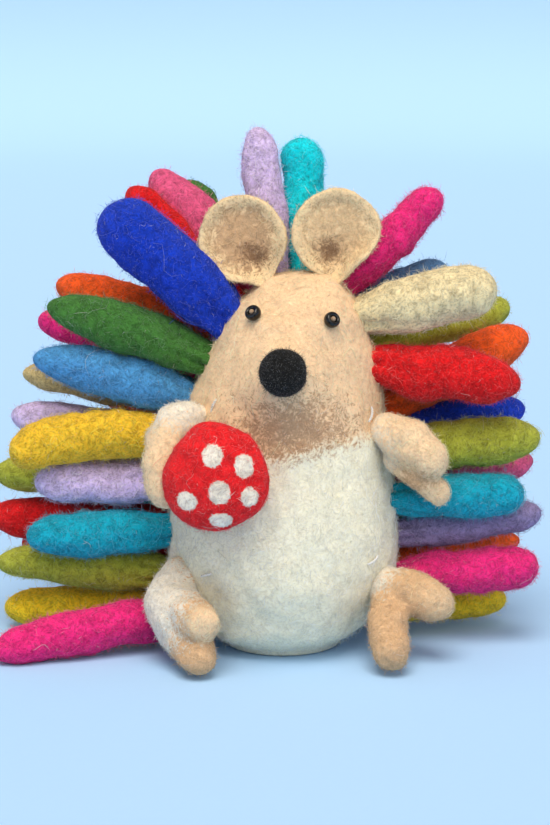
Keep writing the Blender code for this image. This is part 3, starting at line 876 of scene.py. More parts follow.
@dataclass
class FeltQuill:
    """One felt finger of the coat of quills."""

    HEEL: ClassVar[float] = 0.06

    name: str
    spine: Spine
    felt: WoolFelt
    body: str
    slot: str
    seed: int
    tip: Tip = Tip.ROUND
    pinch: float = 0.70
    plump: float = 1.09
    sides: int = 40
    rows: int = 40
    cap_rows: int = 12
    coat: FibreCoat = FibreCoat(curls=190, fuzz=2400)

    def girth(self, t: Array, cap: float, heel: float) -> Array:
        """Return the girth along the quill.

        It grows from the pinch to 1 as a smooth step, then tapers as another, and closes at both
        ends as quarter ellipses.
        """
        grow = self.pinch + (1.0 - self.pinch) * smooth_step(-0.05, 0.32, t)
        taper = 1.0 - self.tip.value[1] * smooth_step(0.42, 1.0, t)
        end = np.sqrt(np.clip(1.0 - (np.clip(t - (1.0 - cap), 0, None) / cap) ** 2, 0, 1))
        start = np.sqrt(np.clip(1.0 - (np.clip(-t, 0, None) / heel) ** 2, 0, 1))
        return grow * taper * end * start

    def creases(self, u: Array, t: Array) -> Array:
        """Return the depth of the creases that the stitching pulls in at the root.

        They fade with the distance from the root, and are sharp where abs(sin) of the turn is 0.
        """
        fade = np.exp(-((np.clip(t, 0, None) / 0.19) ** 1.5))
        turn = 2.5 * u + 0.7 * self.seed + 2.5 * t + 0.5 * np.sin(2 * u + self.seed)
        return 0.42 * fade * (1.0 - np.abs(np.sin(turn))) ** 1.8

    def grid(self) -> ClosedGrid:
        """Return the surface: the spine's point plus the girth times an ellipse in u."""
        spine = self.spine
        cap = min(self.tip.value[0] * max(spine.half_height, spine.half_depth) / spine.length, 0.5)
        heel = self.HEEL
        turn = np.linspace(0.0, 0.5 * math.pi, self.cap_rows)
        rise = 1.0 - cap + cap * np.sin(turn[1:])
        t = np.concatenate([-heel * np.cos(turn[:-3:2]), np.linspace(0.0, 1.0 - cap, self.rows), rise])
        u, t = np.meshgrid(circle(self.sides), t)
        full = self.girth(t, cap, heel)
        size = full * (1.0 - self.creases(u, t)) * self.plump
        size[0], size[-1] = 0.0, 0.0
        depth = spine.across * (spine.half_depth * size * np.cos(u))[..., None]
        height = spine.up * (spine.half_height * size * np.sin(u))[..., None]
        surface = ClosedGrid(spine.at(t) + depth + height)
        relief = lumpy(surface.points, self.seed, (0.55, 13), (0.24, 5.0), (0.07, 1.6))
        return surface.pushed(relief * np.clip(full, 0.15, 1.0))

    def build(self, node: str | None) -> None:
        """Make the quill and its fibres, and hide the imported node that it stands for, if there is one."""
        surface = self.grid()
        piece = surface.piece(self.name)
        dress(piece, self.felt, self.body, node)
        skin = surface.skin(self.spine.ahead, self.spine.half_height)
        add_coat(self.name, self.coat, skin, self.felt, self.seed + 3, self.body)


# ---------------------------------------------------------------- the body
@dataclass
class WoolBody:
    """The felted wool body with its head and snout."""

    SEED: ClassVar[int] = 11

    felt: WoolFelt
    sides: int = 190
    rows: int = 170
    coat: FibreCoat = FibreCoat(curls=2200, fuzz=20000, length=4.0 * MM)

    def __post_init__(self) -> None:
        """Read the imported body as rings, one for each height, each sorted by azimuth."""
        points = node_points("body_felt")
        levels = np.unique(points[:, 2])
        groups = [points[np.abs(points[:, 2] - level) < 1e-5] for level in levels]
        rings = [g[np.argsort(np.arctan2(g[:, 1], g[:, 0] - g[:, 0].mean()))] for g in groups if len(g) > 2]
        crown = points[points[:, 2].argmax()]
        count = len(rings[0])
        self.rings = np.stack([np.zeros((count, 3)), *rings, np.tile(crown, (count, 1))])
        self.height = crown[2]

    def point(self, azimuth: float, share: float) -> Array:
        """Return the point of the body's surface at an azimuth in degrees and a share of its height."""
        turn = math.radians(azimuth)
        heights = self.rings[1:, :, 2].mean(1)
        at = np.array([1 + np.interp(share * self.height, heights, np.arange(len(heights)))])
        ring = catmull_rom(self.rings, at, False)[0]
        angles = np.arctan2(ring[:, 1], ring[:, 0] - ring[:, 0].mean())
        return ring[np.abs((angles - turn + math.pi) % TAU - math.pi).argmin()]

    def grid(self, mounds: Array) -> ClosedGrid:
        """Return the finished surface.

        The rings are carried through smooth curves both ways, and lumps of three sizes and a
        low mound at each sewn-on piece are added.

        Args:
            mounds: rows of x, y, z, height and radius.

        Returns:
            The surface.
        """
        along = np.linspace(0.0, len(self.rings) - 1.0, self.rows)
        around = np.linspace(0.0, self.rings.shape[1], self.sides, endpoint=False)
        rows = catmull_rom(self.rings, along, False)
        points = catmull_rom(rows.swapaxes(0, 1), around, True).swapaxes(0, 1)
        points[0], points[-1] = points[0].mean(0), points[-1].mean(0)
        surface = ClosedGrid(points)
        points = surface.points
        relief = lumpy(points, self.SEED, (0.50, 19), (0.26, 6.5), (0.10, 2.3))
        for x, y, z, height, radius in mounds:
            away = np.linalg.norm(points - np.array((x, y, z)), axis=-1)
            relief += height * np.exp(-((away / radius) ** 2))
        relief *= smooth_step(0.0, 6 * MM, points[..., 2])
        surface = surface.pushed(relief)
        surface.points[..., 2] = np.maximum(surface.points[..., 2], 0.0)
        return surface

    def build(self, mounds: Array) -> None:
        """Make the body and its fibres."""
        surface = self.grid(mounds)
        piece = surface.piece("felt_body")
        dress(piece, self.felt, "body", "body_felt")
        skin = surface.skin(np.zeros(3), 28 * MM)
        add_coat("felt_body", self.coat, skin, self.felt, self.SEED + 3, "body")


# ---------------------------------------------------------------- face
@dataclass
class FeltNose:
    """Ball of black felt on the snout: a sphere with lumps."""

    SEED: ClassVar[int] = 21

    felt: WoolFelt
    coat: FibreCoat = FibreCoat(30, 1600, 1.8 * MM, 0.5 * MM)

    def build(self) -> None:
        """Make the nose."""
        points = node_points("nose")
        centre = 0.5 * (points.min(0) + points.max(0))
        radius = 0.5 * np.ptp(points, axis=0).mean()
        surface = ClosedGrid(centre + unit_ball(48, 34) * radius)
        surface = surface.pushed(lumpy(surface.points, self.SEED, (0.14, 6), (0.06, 1.8)))
        piece = surface.piece("felt_nose")
        dress(piece, self.felt, "body", "nose")
        skin = surface.skin(np.zeros(3), radius)
        add_coat("felt_nose", self.coat, skin, self.felt, self.SEED + 2, "body")


@dataclass
class BeadEye:
    """Round glass seed bead: a ring whose section is a rounded superellipse.

    Its axis is the direction, out of many tries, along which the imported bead's hole is widest.
    """

    SEED: ClassVar[int] = 7
    TRIES: ClassVar[int] = 6000
    KNOT: ClassVar[TwistedThread] = TwistedThread("brown_thread", (0.20, 0.12, 0.07), (0.45, 0.30, 0.18))

    side: str
    sides: int = 56
    section: int = 28

    def build(self) -> None:
        """Make the bead with its hole facing outwards."""
        node = f"eye_{self.side}"
        points = node_points(node)
        centre = points.mean(0)
        tries = unit(np.random.default_rng(self.SEED).normal(size=(self.TRIES, 3)))
        tries = tries[tries[:, 1] < 0]
        gaps = ((points - centre) ** 2).sum(1)[:, None] - ((points - centre) @ tries.T) ** 2
        axis = tries[gaps.min(0).argmax()]
        right = unit(np.cross(UP, axis))
        top = np.cross(axis, right)
        away = np.linalg.norm((points - centre) - np.outer((points - centre) @ axis, axis), axis=1)
        outer, hole = away.max(), 1.15 * away.min()
        half = np.abs((points - centre) @ axis).max()
        u, v = np.meshgrid(circle(self.sides), circle(self.section))
        radius = 0.5 * (outer + hole) + 0.5 * (outer - hole) * self.rounded(np.cos(v))
        spoke = right * np.cos(u)[..., None] + top * np.sin(u)[..., None]
        rise = 0.82 * half * self.rounded(np.sin(v))
        ring = centre + spoke * radius[..., None] + axis * rise[..., None]
        k, i = np.meshgrid(np.arange(self.sides), np.arange(self.section))
        corners = ((0, 0), (1, 0), (1, 1), (0, 1))
        numbers = [(i + b) % self.section * self.sides + (k + a) % self.sides for a, b in corners]
        places = [np.stack([(k + a) / self.sides, (i + b) / self.section], -1) for a, b in corners]
        quads, uv = np.stack(numbers, -1).reshape(-1, 4), np.stack(places, -2).reshape(-1, 2)
        piece = mesh_object(f"glass_{node}", ring.reshape(-1, 3), quads, np.empty((0, 3), int), uv)
        dress(piece, BeadGlass(), "body", node)
        knot = ClosedGrid(centre + axis * 0.42 * half + unit_ball(20, 12) * 0.92 * hole).piece(f"knot_{node}")
        dress(knot, self.KNOT, "body")

    @staticmethod
    def rounded(wave: Array) -> Array:
        """Return sign(wave) * abs(wave)^0.95, which makes a circle a little squarer."""
        return np.sign(wave) * np.abs(wave) ** 0.95


@dataclass
class FeltEar:
    """Dished felt disc, gathered into a dimple above its stalk.

    A point has the polar place (r, u) on the disc. The sheet bows backwards as 1 - r^2, sinks
    towards the dimple as a bell curve, and lifts at its rim. Part of the rim turns in as a lip.
    """

    side: str
    felt: WoolFelt
    lip: float
    lip_turn: float
    seed: int
    thickness: float = 2.3 * MM
    dimple: tuple[float, float] = (0.0, -0.66)
    sides: int = 96
    rows: int = 44
    coat: FibreCoat = FibreCoat(90, 3000, 2.4 * MM, 0.55 * MM)

    def build(self) -> None:
        """Make the ear and its fibres."""
        node = f"ear_{self.side}"
        points = node_points(node)
        base = joint_place(node)
        front = main_axes(points)[2]
        front = front if front[1] < 0 else -front
        up = points.mean(0) - base
        up = unit(up - (up @ front) * front)
        out = np.cross(up, front)
        radius = 0.485 * np.ptp((points - base) @ out)
        stalk = ((points - base) @ up).max() - 2.0 * radius
        middle = base + up * (radius + 0.45 * stalk) - front * 0.6 * MM
        rim = np.linspace(0.0, 1.0, self.rows // 2 + 1)
        edge = np.linspace(0.0, math.pi, 11)[1:-1]
        reach = np.concatenate([rim, 1.0 + 0.055 * np.sin(edge), rim[::-1]])
        wall = np.concatenate([np.ones_like(rim), np.cos(edge), -np.ones_like(rim)])
        u, r = np.meshgrid(circle(self.sides), reach)
        wall = np.broadcast_to(wall[:, None], r.shape)
        down = np.clip(-np.sin(u), 0, None)
        away_from_lip = (u - self.lip_turn + math.pi) % TAU - math.pi
        turned_in = np.exp(-((away_from_lip / 0.60) ** 2)) * smooth_step(0.62, 1.0, r)
        shrink = 1.0 - 0.05 * self.lip / MM * turned_in
        width = radius * r * np.cos(u) * shrink
        height = (radius * r * np.sin(u)) * shrink - 0.6 * r * down ** 30 * stalk
        away = np.hypot(width / radius - self.dimple[0], height / radius - self.dimple[1])
        bow = -0.8 * MM * (1.0 - r ** 2) - 3.3 * MM * np.exp(-((away / 0.42) ** 1.5))
        bow += 0.9 * MM * smooth_step(0.70, 0.94, r) * (1.0 - 0.8 * down ** 8) + self.lip * turned_in
        sheet = middle + out * width[..., None] + up * height[..., None] + front * bow[..., None]
        half = 0.5 * self.thickness * wall * (1.0 - 0.30 * down ** 8 * r)
        surface = ClosedGrid(sheet + front * half[..., None])
        surface = surface.pushed(lumpy(surface.points, self.seed, (0.20, 9), (0.10, 2.6)))
        name = f"felt_{node}"
        piece = surface.piece(name)
        dress(piece, self.felt, node, node)
        cut = (2.15 * radius, 2.15 * radius + stalk)
        0.84 * cut[0] * cut[1]
        skin = surface.skin(np.zeros(3), 0.05)
        add_coat(name, self.coat, skin, self.felt, self.seed + 2, node)


# ---------------------------------------------------------------- limbs, cap and stitches
@dataclass(frozen=True)
class Lobe:
    """A rounded length of felt: the points of its middle line and its radii there, in millimetres."""

    line: tuple[tuple[float, float, float], ...]
    radii: tuple[float, ...]

    def surface(self, sides: int = 28, steps: int = 22) -> ClosedGrid:
        """Return a tube along the smooth curve through the points, closed by half spheres."""
        rows = np.array(self.line) * MM
        at = np.linspace(0.0, len(rows) - 1.0, steps)
        line = catmull_rom(rows, at, False)
        girth = np.interp(at, np.arange(len(rows)), self.radii) * MM
        ahead = unit(np.gradient(line, axis=0))
        swing = np.linspace(0.5 * math.pi, 0.0, 9)[:-1]
        start = line[0] - ahead[0] * (girth[0] * np.sin(swing))[:, None]
        end = line[-1] + ahead[-1] * (girth[-1] * np.sin(swing[::-1]))[:, None]
        line = np.vstack([start, line, end])
        girth = np.concatenate([girth[0] * np.cos(swing), girth, girth[-1] * np.cos(swing[::-1])])
        girth[0], girth[-1] = 0.0, 0.0
        ahead = np.vstack([np.tile(ahead[0], (8, 1)), ahead, np.tile(ahead[-1], (8, 1))])
        side = unit(np.cross(ahead, np.array((0.35, 0.2, 1.0))))
        other = np.cross(ahead, side)
        u = circle(sides)[None, :, None]
        ring = side[:, None] * np.cos(u) + other[:, None] * np.sin(u)
        return ClosedGrid(line[:, None] + ring * girth[:, None, None])


@dataclass
class FeltLimb:
    """A felt arm or leg: lobes that are felted into one skin, which swells and is lumpy."""

    PRESSURE: ClassVar[float] = 4.0
    FRAMES: ClassVar[int] = 12

    node: str
    felt: WoolFelt
    lobes: tuple[Lobe, ...]
    seed: int
    voxel: float = 0.7 * MM
    swell: float = 0.45 * MM
    coat: FibreCoat = FibreCoat(200, 3200, 2.6 * MM, 0.6 * MM)

    def union(self, name: str) -> bpy.types.Object:
        """Join the lobes' meshes and remesh them as one even skin with softened creases."""
        piece = joined(name, [lobe.surface() for lobe in self.lobes])
        remesh = piece.modifiers.new("even skin", "REMESH")
        remesh.mode = "VOXEL"
        remesh.voxel_size = self.voxel
        soften = piece.modifiers.new("felted creases", "SMOOTH")
        soften.factor = 0.5
        soften.iterations = 6
        self.apply(piece)
        return piece

    @staticmethod
    def apply(piece: bpy.types.Object) -> None:
        """Put the modifiers' result into the piece's mesh."""
        view = bpy.context.evaluated_depsgraph_get()
        baked = bpy.data.meshes.new_from_object(piece.evaluated_get(view))
        piece.modifiers.clear()
        piece.data = baked

    def swollen(self, piece: bpy.types.Object) -> None:
        """Let the skin swell as cloth under pressure, and cap how far each point moves."""
        before = mesh_rows(piece.data, "co")
        cloth = piece.modifiers.new("swelling", "CLOTH")
        cloth.settings.use_pressure = True
        cloth.settings.uniform_pressure_force = self.PRESSURE
        cloth.settings.effector_weights.gravity = 0.0
        cloth.settings.quality = 4
        scene = bpy.context.scene
        for number in range(self.FRAMES):
            scene.frame_set(number + 1)
        self.apply(piece)
        scene.frame_set(1)
        moved = mesh_rows(piece.data, "co") - before
        reach = np.linalg.norm(moved, axis=1, keepdims=True)
        moved *= np.minimum(1.0, self.swell / np.maximum(reach, 1e-9))
        piece.data.vertices.foreach_set("co", (before + moved).astype(np.float32).ravel())
        piece.data.update()

    def build(self) -> None:
        """Make the limb and its fibres."""
        name = f"felt_{self.node}"
        piece = self.union(name)
        self.swollen(piece)
        finer = piece.modifiers.new("fine skin", "SUBSURF")
        finer.levels = 1
        finer.render_levels = 1
        self.apply(piece)
        mesh = piece.data
        points, normals = mesh_rows(mesh, "co"), mesh_rows(mesh, "normal")
        points = points + normals * lumpy(points, self.seed, (0.25, 6), (0.09, 2.2))[:, None]
        points[:, 2] = np.maximum(points[:, 2], 0.05 * MM)
        mesh.vertices.foreach_set("co", points.astype(np.float32).ravel())
        mesh.update()
        mesh.shade_smooth()
        mesh.calc_loop_triangles()
        triangles = np.empty(len(mesh.loop_triangles) * 3, np.int32)
        mesh.loop_triangles.foreach_get("vertices", triangles)
        body = body_of(self.node)
        dress(piece, self.felt, body, self.node)
        skin = Skin(points, normals, triangles.reshape(-1, 3), np.zeros(3), 6 * MM)
        add_coat(name, self.coat, skin, self.felt, self.seed + 2, body)


@dataclass
class ToadstoolCap:
    """Red felt cap with white spots: a turned dome whose edge is a little uneven."""

    SEED: ClassVar[int] = 31

    base: Colour = (0.86, 0.012, 0.016)
    white: Colour = (0.98, 0.87, 0.69)
    # Each spot: sideways and upwards place, and half its width and height, in cap radii.
    spots: tuple = (
        (0.06, 0.43, 0.21, 0.24),
        (0.63, 0.26, 0.19, 0.24),
        (0.21, -0.24, 0.22, 0.24),
        (-0.41, -0.42, 0.22, 0.20),
        (0.73, -0.30, 0.18, 0.20),
        (0.21, -0.76, 0.23, 0.17),
    )
    sides: int = 120
    rows: int = 60
    coat: FibreCoat = FibreCoat(260, 2600, rise=0.5 * MM)

    def build(self) -> None:
        """Make the cap, its spots and its fibres."""
        points = node_points("toadstool_cap")
        centre = points.mean(0)
        axis = main_axes(points)[2]
        axis = axis if axis[1] < 0 else -axis
        depth = (points - centre) @ axis
        away = np.linalg.norm((points - centre) - np.outer(depth, axis), axis=1)
        radius, thick = away.max(), np.ptp(depth)
        back = centre + axis * depth.min()
        top = np.cross(unit(np.cross(axis, UP)), axis)
        top = top if top[2] > 0 else -top
        right = np.cross(top, axis)
        right = right if right[0] > 0 else -right
        turn = np.linspace(0.0, 1.0, self.rows)
        section = self._section(turn, radius, thick)
        u, row = np.meshgrid(circle(self.sides), np.arange(self.rows))
        uneven = 1.0 + 0.02 * np.cos(3 * u + 0.7) + 0.012 * np.cos(5 * u + 2.1)
        uneven = uneven - 0.09 * np.exp(-(((u - 2.35) / 0.45) ** 2))
        r, z = section[row, 0] * uneven, section[row, 1]
        disc = right * (r * np.cos(u))[..., None] + top * (r * np.sin(u))[..., None]
        surface = ClosedGrid(back + disc + axis * z[..., None])
        points = surface.points
        relief = lumpy(points, self.SEED, (0.30, 7), (0.09, 2.2))
        zones = []
        corner = 0.24 * thick
        for x, y, wide, high in self.spots:
            rise = corner + (thick - corner) * math.sqrt(max(1.0 - x * x - y * y, 0.02))
            spot = back + right * (x * radius) + top * (y * radius) + axis * rise
            size = tuple(radius * share for share in (wide, 0.5 * (wide + high), high))
            zones.append(BallZone(self.white, tuple(spot), size, core=0.84, ragged=0.35))
            lift = np.linalg.norm((points - spot) / size, axis=-1)
            relief += 0.22 * MM * (1.0 - smooth_step(0.6, 1.05, lift))
        surface = surface.pushed(relief)
        felt = WoolFelt("toadstool_red", self.base, tuple(zones), stray=0.06, contrast=0.34, cloud=0.25)
        body, name = body_of("toadstool_cap"), "felt_toadstool_cap"
        piece = surface.piece(name)
        dress(piece, felt, body, "toadstool_cap")
        skin = surface.skin(np.zeros(3), 20 * MM)
        add_coat(name, self.coat, skin, felt, self.SEED + 2, body)

    @staticmethod
    def _section(share: Array, radius: float, thick: float) -> Array:
        """Return radius and height along half the cap's outline: flat back, round edge, low dome."""
        corner = 0.24 * thick
        flat = np.stack([np.linspace(0.0, radius - corner, 14), np.zeros(14)], -1)
        turn = np.linspace(-0.5 * math.pi, 0.0, 12)[1:]
        edge = np.stack([radius - corner + corner * np.cos(turn), corner + corner * np.sin(turn)], -1)
        lift = np.linspace(0.0, 0.5 * math.pi, 30)[1:]
        dome = np.stack([radius * np.cos(lift), corner + (thick - corner) * np.sin(lift)], -1)
        outline = np.vstack([flat, edge, dome])
        steps = np.concatenate([[0.0], np.cumsum(np.linalg.norm(np.diff(outline, axis=0), axis=1))])
        at = share * steps[-1]
        return np.stack([np.interp(at, steps, outline[:, k]) for k in (0, 1)], -1)


@dataclass
class SewnStitch:
    """A stitch of two-ply thread: two thin tubes that twist round a shallow arch."""

    node: str
    thick: float = 0.34 * MM
    twists: float = 3.0
    sides: int = 8
    rows: int = 48

    def build(self) -> None:
        """Make the stitch's two plies as one piece."""
        points = node_points(self.node)
        middle = points.mean(0)
        along = main_axes(points)[0]
        length = np.ptp((points - middle) @ along)
        out = unit(middle * np.array((1.0, 1.0, 0.0)))
        out = unit(out - (out @ along) * along)
        side = np.cross(along, out)
        plies = []
        for phase in (0.0, math.pi):
            u, t = np.meshgrid(circle(self.sides), np.linspace(0.0, 1.0, self.rows))
            twist = TAU * self.twists * t + phase
            arch = 0.55 * MM * np.sin(math.pi * t) - 0.5 * MM
            line = middle + along * (length * (t - 0.5))[..., None] + out * arch[..., None]
            aside = out * np.cos(twist)[..., None] + side * np.sin(twist)[..., None]
            line = line + 0.5 * self.thick * aside
            girth = 0.5 * self.thick * np.clip(np.sin(math.pi * t) * 6.0, 0.0, 1.0)
            tube = line + (out * np.cos(u)[..., None] + side * np.sin(u)[..., None]) * girth[..., None]
            plies.append(ClosedGrid(tube))
        piece = joined(f"sewn_{self.node}", plies)
        dress(piece, TwistedThread(), "body", self.node)


# ---------------------------------------------------------------- the whole hedgehog
DYES: dict[str, Colour] = {row["slot"]: tuple(row["base_color"][:3]) for row in frame["record"]["materials"]}

HEAD_BEIGE: Colour = (0.97, 0.63, 0.375)
BROW_PEACH: Colour = (0.86, 0.52, 0.32)
CHIN_BROWN: Colour = (0.46, 0.25, 0.13)
EAR_RIM: Colour = (0.95, 0.66, 0.37)
EAR_BROWN: Colour = (0.60, 0.36, 0.19)
EAR_DARK: Colour = (0.26, 0.14, 0.07)
BELLY_CREAM: Colour = (0.99, 0.92, 0.67)

# How much bolder than its packed colour each wool is dyed: shares of red, green and blue.
BOLDER: dict[str, Colour] = {
    "royal": (0.5, 1.05, 1.15), "green": (1.25, 1.4, 1.0), "sky": (1.25, 1.4, 1.25),
    "mustard": (1.05, 1.12, 0.8), "orange": (1.25, 1.15, 0.7), "olive": (1.3, 1.35, 0.85),
    "yellow": (1.5, 1.4, 0.9), "red": (1.1, 0.5, 0.5), "crimson": (1.1, 0.5, 0.5),
    "pink": (1.05, 0.7, 1.0), "aqua": (0.3, 1.15, 1.06), "turquoise": (0.5, 1.1, 1.1),
    "lavender": (1.2, 1.2, 1.2), "ivory": (1.1, 1.05, 1.0), "rose": (1.1, 1.0, 1.0),
}
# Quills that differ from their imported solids: girth share, and the tip's move in millimetres (x, y, z).
TUNED: dict[str, tuple[float, tuple[float, float, float]]] = {
    "left_front_8_royal": (1.24, (3.5, 0.0, 8.5)), "left_front_7_green": (1.06, (0.5, 0.0, -0.5)),
    "left_front_6_sky": (1.06, (-1.0, 0.0, 0.8)), "left_front_5_mustard": (0.98, (0.8, 0.0, -3.2)),
    "left_front_4_lavender": (1.0, (1.2, 0.0, -1.2)), "left_front_2_olive": (0.94, (0.0, 0.0, -0.4)),
    "left_front_3_turquoise": (0.96, (2.6, 0.0, -0.4)), "left_front_1_pink": (1.0, (0.0, 0.0, -1.0)),
    "left_back_9_rose": (1.10, (-6.0, 0.0, -3.2)), "left_back_8_red": (0.96, (0.2, 0.0, 1.5)),
    "left_back_7_orange": (1.0, (-0.6, 0.0, -2.8)), "left_rear_5_green": (1.0, (-2.5, 0.0, -3.0)),
    "right_back_8_denim": (1.0, (-7.0, 0.0, -1.5)), "right_back_6_orange": (1.25, (0.0, 0.0, -0.8)),
    "crown_1_lavender": (0.94, (1.0, 1.6, -1.9)), "crown_2_aqua": (1.0, (-0.6, 0.0, -2.9)),
    "right_front_6_ivory": (1.0, (-2.4, 0.0, 1.4)), "right_front_2_lavender": (0.92, (0.0, 0.0, -0.4)),
    "right_front_3_turquoise": (0.95, (0.0, 0.0, 0.0)), "right_front_5_red": (1.04, (-1.2, 0.0, 0.0)),
}
POINTED = ("left_front_2", "left_front_6", "left_front_7", "left_back_5", "right_back_2")
BLUNT = ("left_front_8", "left_front_5", "crown_2", "right_front_6", "right_front_1", "right_front_3")


def felt_of(slot: str) -> WoolFelt:
    """Return the felt of a quill's slot."""
    more = BOLDER.get(slot[5:], (1.0, 1.0, 1.0))
    return WoolFelt(f"felted_{slot}", tuple(min(dye * k, 0.98) for dye, k in zip(DYES[slot], more)))


def build_quills(hub: Array) -> list[Array]:
    """Make every packed quill, and return where their roots are.

    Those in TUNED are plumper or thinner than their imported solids, or are turned a little.
    """
    roots = []
    for number, node in enumerate(sorted(n for n in frame["nodes"] if n.startswith("quill_"))):
        spine, place = Spine.of_node(node, hub), node.removeprefix("quill_")
        if place in TUNED:
            spine = spine.tuned(*TUNED[place])
        spine = spine.deeper(2.6 * MM if node.endswith("5_red") else 1.2 * MM)
        seed, slot = 100 + 10 * number, slot_of(node)
        quill = FeltQuill(f"felt_{node}", spine, felt_of(slot), body_of(node), slot, seed)
        if place.startswith(POINTED + BLUNT):
            quill.tip = Tip.POINTED if place.startswith(POINTED) else Tip.BLUNT
        if "front" not in node and "crown" not in node:
            quill.coat = FibreCoat(curls=80, fuzz=1300)
        quill.build(node)
        roots.append(spine.start)
        LOG.info("%s: %.1f mm long, seed %d", quill.name, spine.length / MM, seed)
    return roots


def build_back(body: WoolBody, hub: Array) -> list[Array]:
    """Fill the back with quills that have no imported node.

    Each row: wool, azimuth, height share, heading, rise, length in millimetres.
    """
    rows = (
        ("pink", 42, 0.160, 40, 0, 36), ("olive", 90, 0.200, 90, 1, 37),
        ("green", 116, 0.235, 124, 2, 37), ("royal", 50, 0.280, 46, 3, 36),
        ("crimson", 66, 0.400, 68, 4, 37), ("lavender", 112, 0.400, 118, 5, 37),
        ("mustard", 44, 0.440, 40, 4, 36), ("sky", 88, 0.470, 88, 6, 37),
        ("orange", 136, 0.560, 140, 8, 36), ("green", 88, 0.640, 88, 10, 37),
        ("lavender", 58, 0.700, 54, 14, 36), ("pink", 116, 0.730, 122, 16, 36),
        ("red", 60, 0.850, 52, 34, 34), ("sky", 112, 0.900, 100, 50, 34),
        ("aqua", 136, 0.330, 142, 3, 36),
    )
    roots = []
    for number, (wool, azimuth, share, heading, rise, length) in enumerate(rows):
        start = body.point(azimuth, share)
        turn, lift = math.radians(heading), math.radians(rise)
        level = math.cos(lift)
        ahead = np.array((level * math.cos(turn), level * math.sin(turn), math.sin(lift)))
        spine = Spine.aimed(start + ahead * 0.4 * MM, ahead, length * MM, np.zeros((3, 3)), *mm(4.9, 4.9))
        slot, name = f"wool_{wool}", f"felt_quill_fill_{number + 1:02d}_{wool}"
        quill = FeltQuill(name, spine, felt_of(slot), "body", slot, 700 + 10 * number)
        quill.coat = FibreCoat(curls=40, fuzz=900)
        quill.build(None)
        roots.append(start)
        LOG.info("%s", name)
    return roots


def place_camera() -> None:
    """Set the camera at the height of a seated viewer, looking slightly down."""
    down = math.radians(11.0)
    distance, seen_height, sensor_mm = 0.65, 0.20625, 24.0
    target = np.array((-0.002, 0.0, 0.0592))
    data = bpy.data.cameras.new("camera")
    data.sensor_fit = "VERTICAL"
    data.sensor_height = sensor_mm
    data.lens = sensor_mm * distance / seen_height
    camera = bpy.data.objects.new("camera", data)
    camera.location = target + distance * np.array((0.0, -math.cos(down), math.sin(down)))
    camera.rotation_euler = (math.radians(90.0) - down, 0.0, 0.0)
    bpy.context.scene.collection.objects.link(camera)
    bpy.context.scene.camera = camera


def place_lights() -> None:
    """Set a soft sun from above, a very soft one in front, and an even pale surround.

    Each sun: azimuth, rise and apparent width in degrees, and strength.
    """
    scene = bpy.context.scene
    scene.view_settings.view_transform = "Standard"
    world = bpy.data.worlds.new("surround")
    world.use_nodes = True
    background = world.node_tree.nodes["Background"]
    background.inputs["Color"].default_value = (1.0, 0.95, 0.90, 1.0)
    background.inputs["Strength"].default_value = 0.46
    scene.world = world
    for name, azimuth, rise, spread, strength in (("key", -96, 64, 36, 2.35), ("front", -76, 17, 70, 1.70)):
        data = bpy.data.lights.new(name, "SUN")
        data.energy = strength
        data.color = (1.0, 0.93, 0.83)
        data.angle = math.radians(spread)
        light = bpy.data.objects.new(name, data)
        light.rotation_euler = (math.radians(90.0 - rise), 0.0, math.radians(azimuth + 90.0))
        scene.collection.objects.link(light)


def place_floor() -> None:
    """Lay a round sheet of pale paper whose rim curves up into a low wall, just under the seat."""
    sides, reach, rim, wall, gap = 96, 1.3, 0.5, 0.45, 0.05 * MM
    turn = np.linspace(0.0, 0.5 * math.pi, 12)[1:]
    flat = np.linspace(0.001, reach, 14)
    rise = np.concatenate([0.0 * flat, wall - wall * np.cos(turn)])
    u, out = np.meshgrid(circle(sides), np.concatenate([flat, reach + rim * np.sin(turn)]))
    height = np.broadcast_to(rise[:, None], u.shape) - gap
    points = np.stack([out * np.cos(u), out * np.sin(u), height], -1).reshape(-1, 3)
    ring = np.arange(u.shape[0] - 1)[:, None] * sides
    k = np.arange(sides)
    after = (k + 1) % sides
    quads = np.stack([ring + k, ring + sides + k, ring + sides + after, ring + after], -1).reshape(-1, 4)
    uv = points[quads.ravel(), :2] / 4.0 + 0.5
    floor = mesh_object("paper_sweep", points, quads, np.empty((0, 3), int), uv)
    floor.data.materials.append(PaperSweep().material())


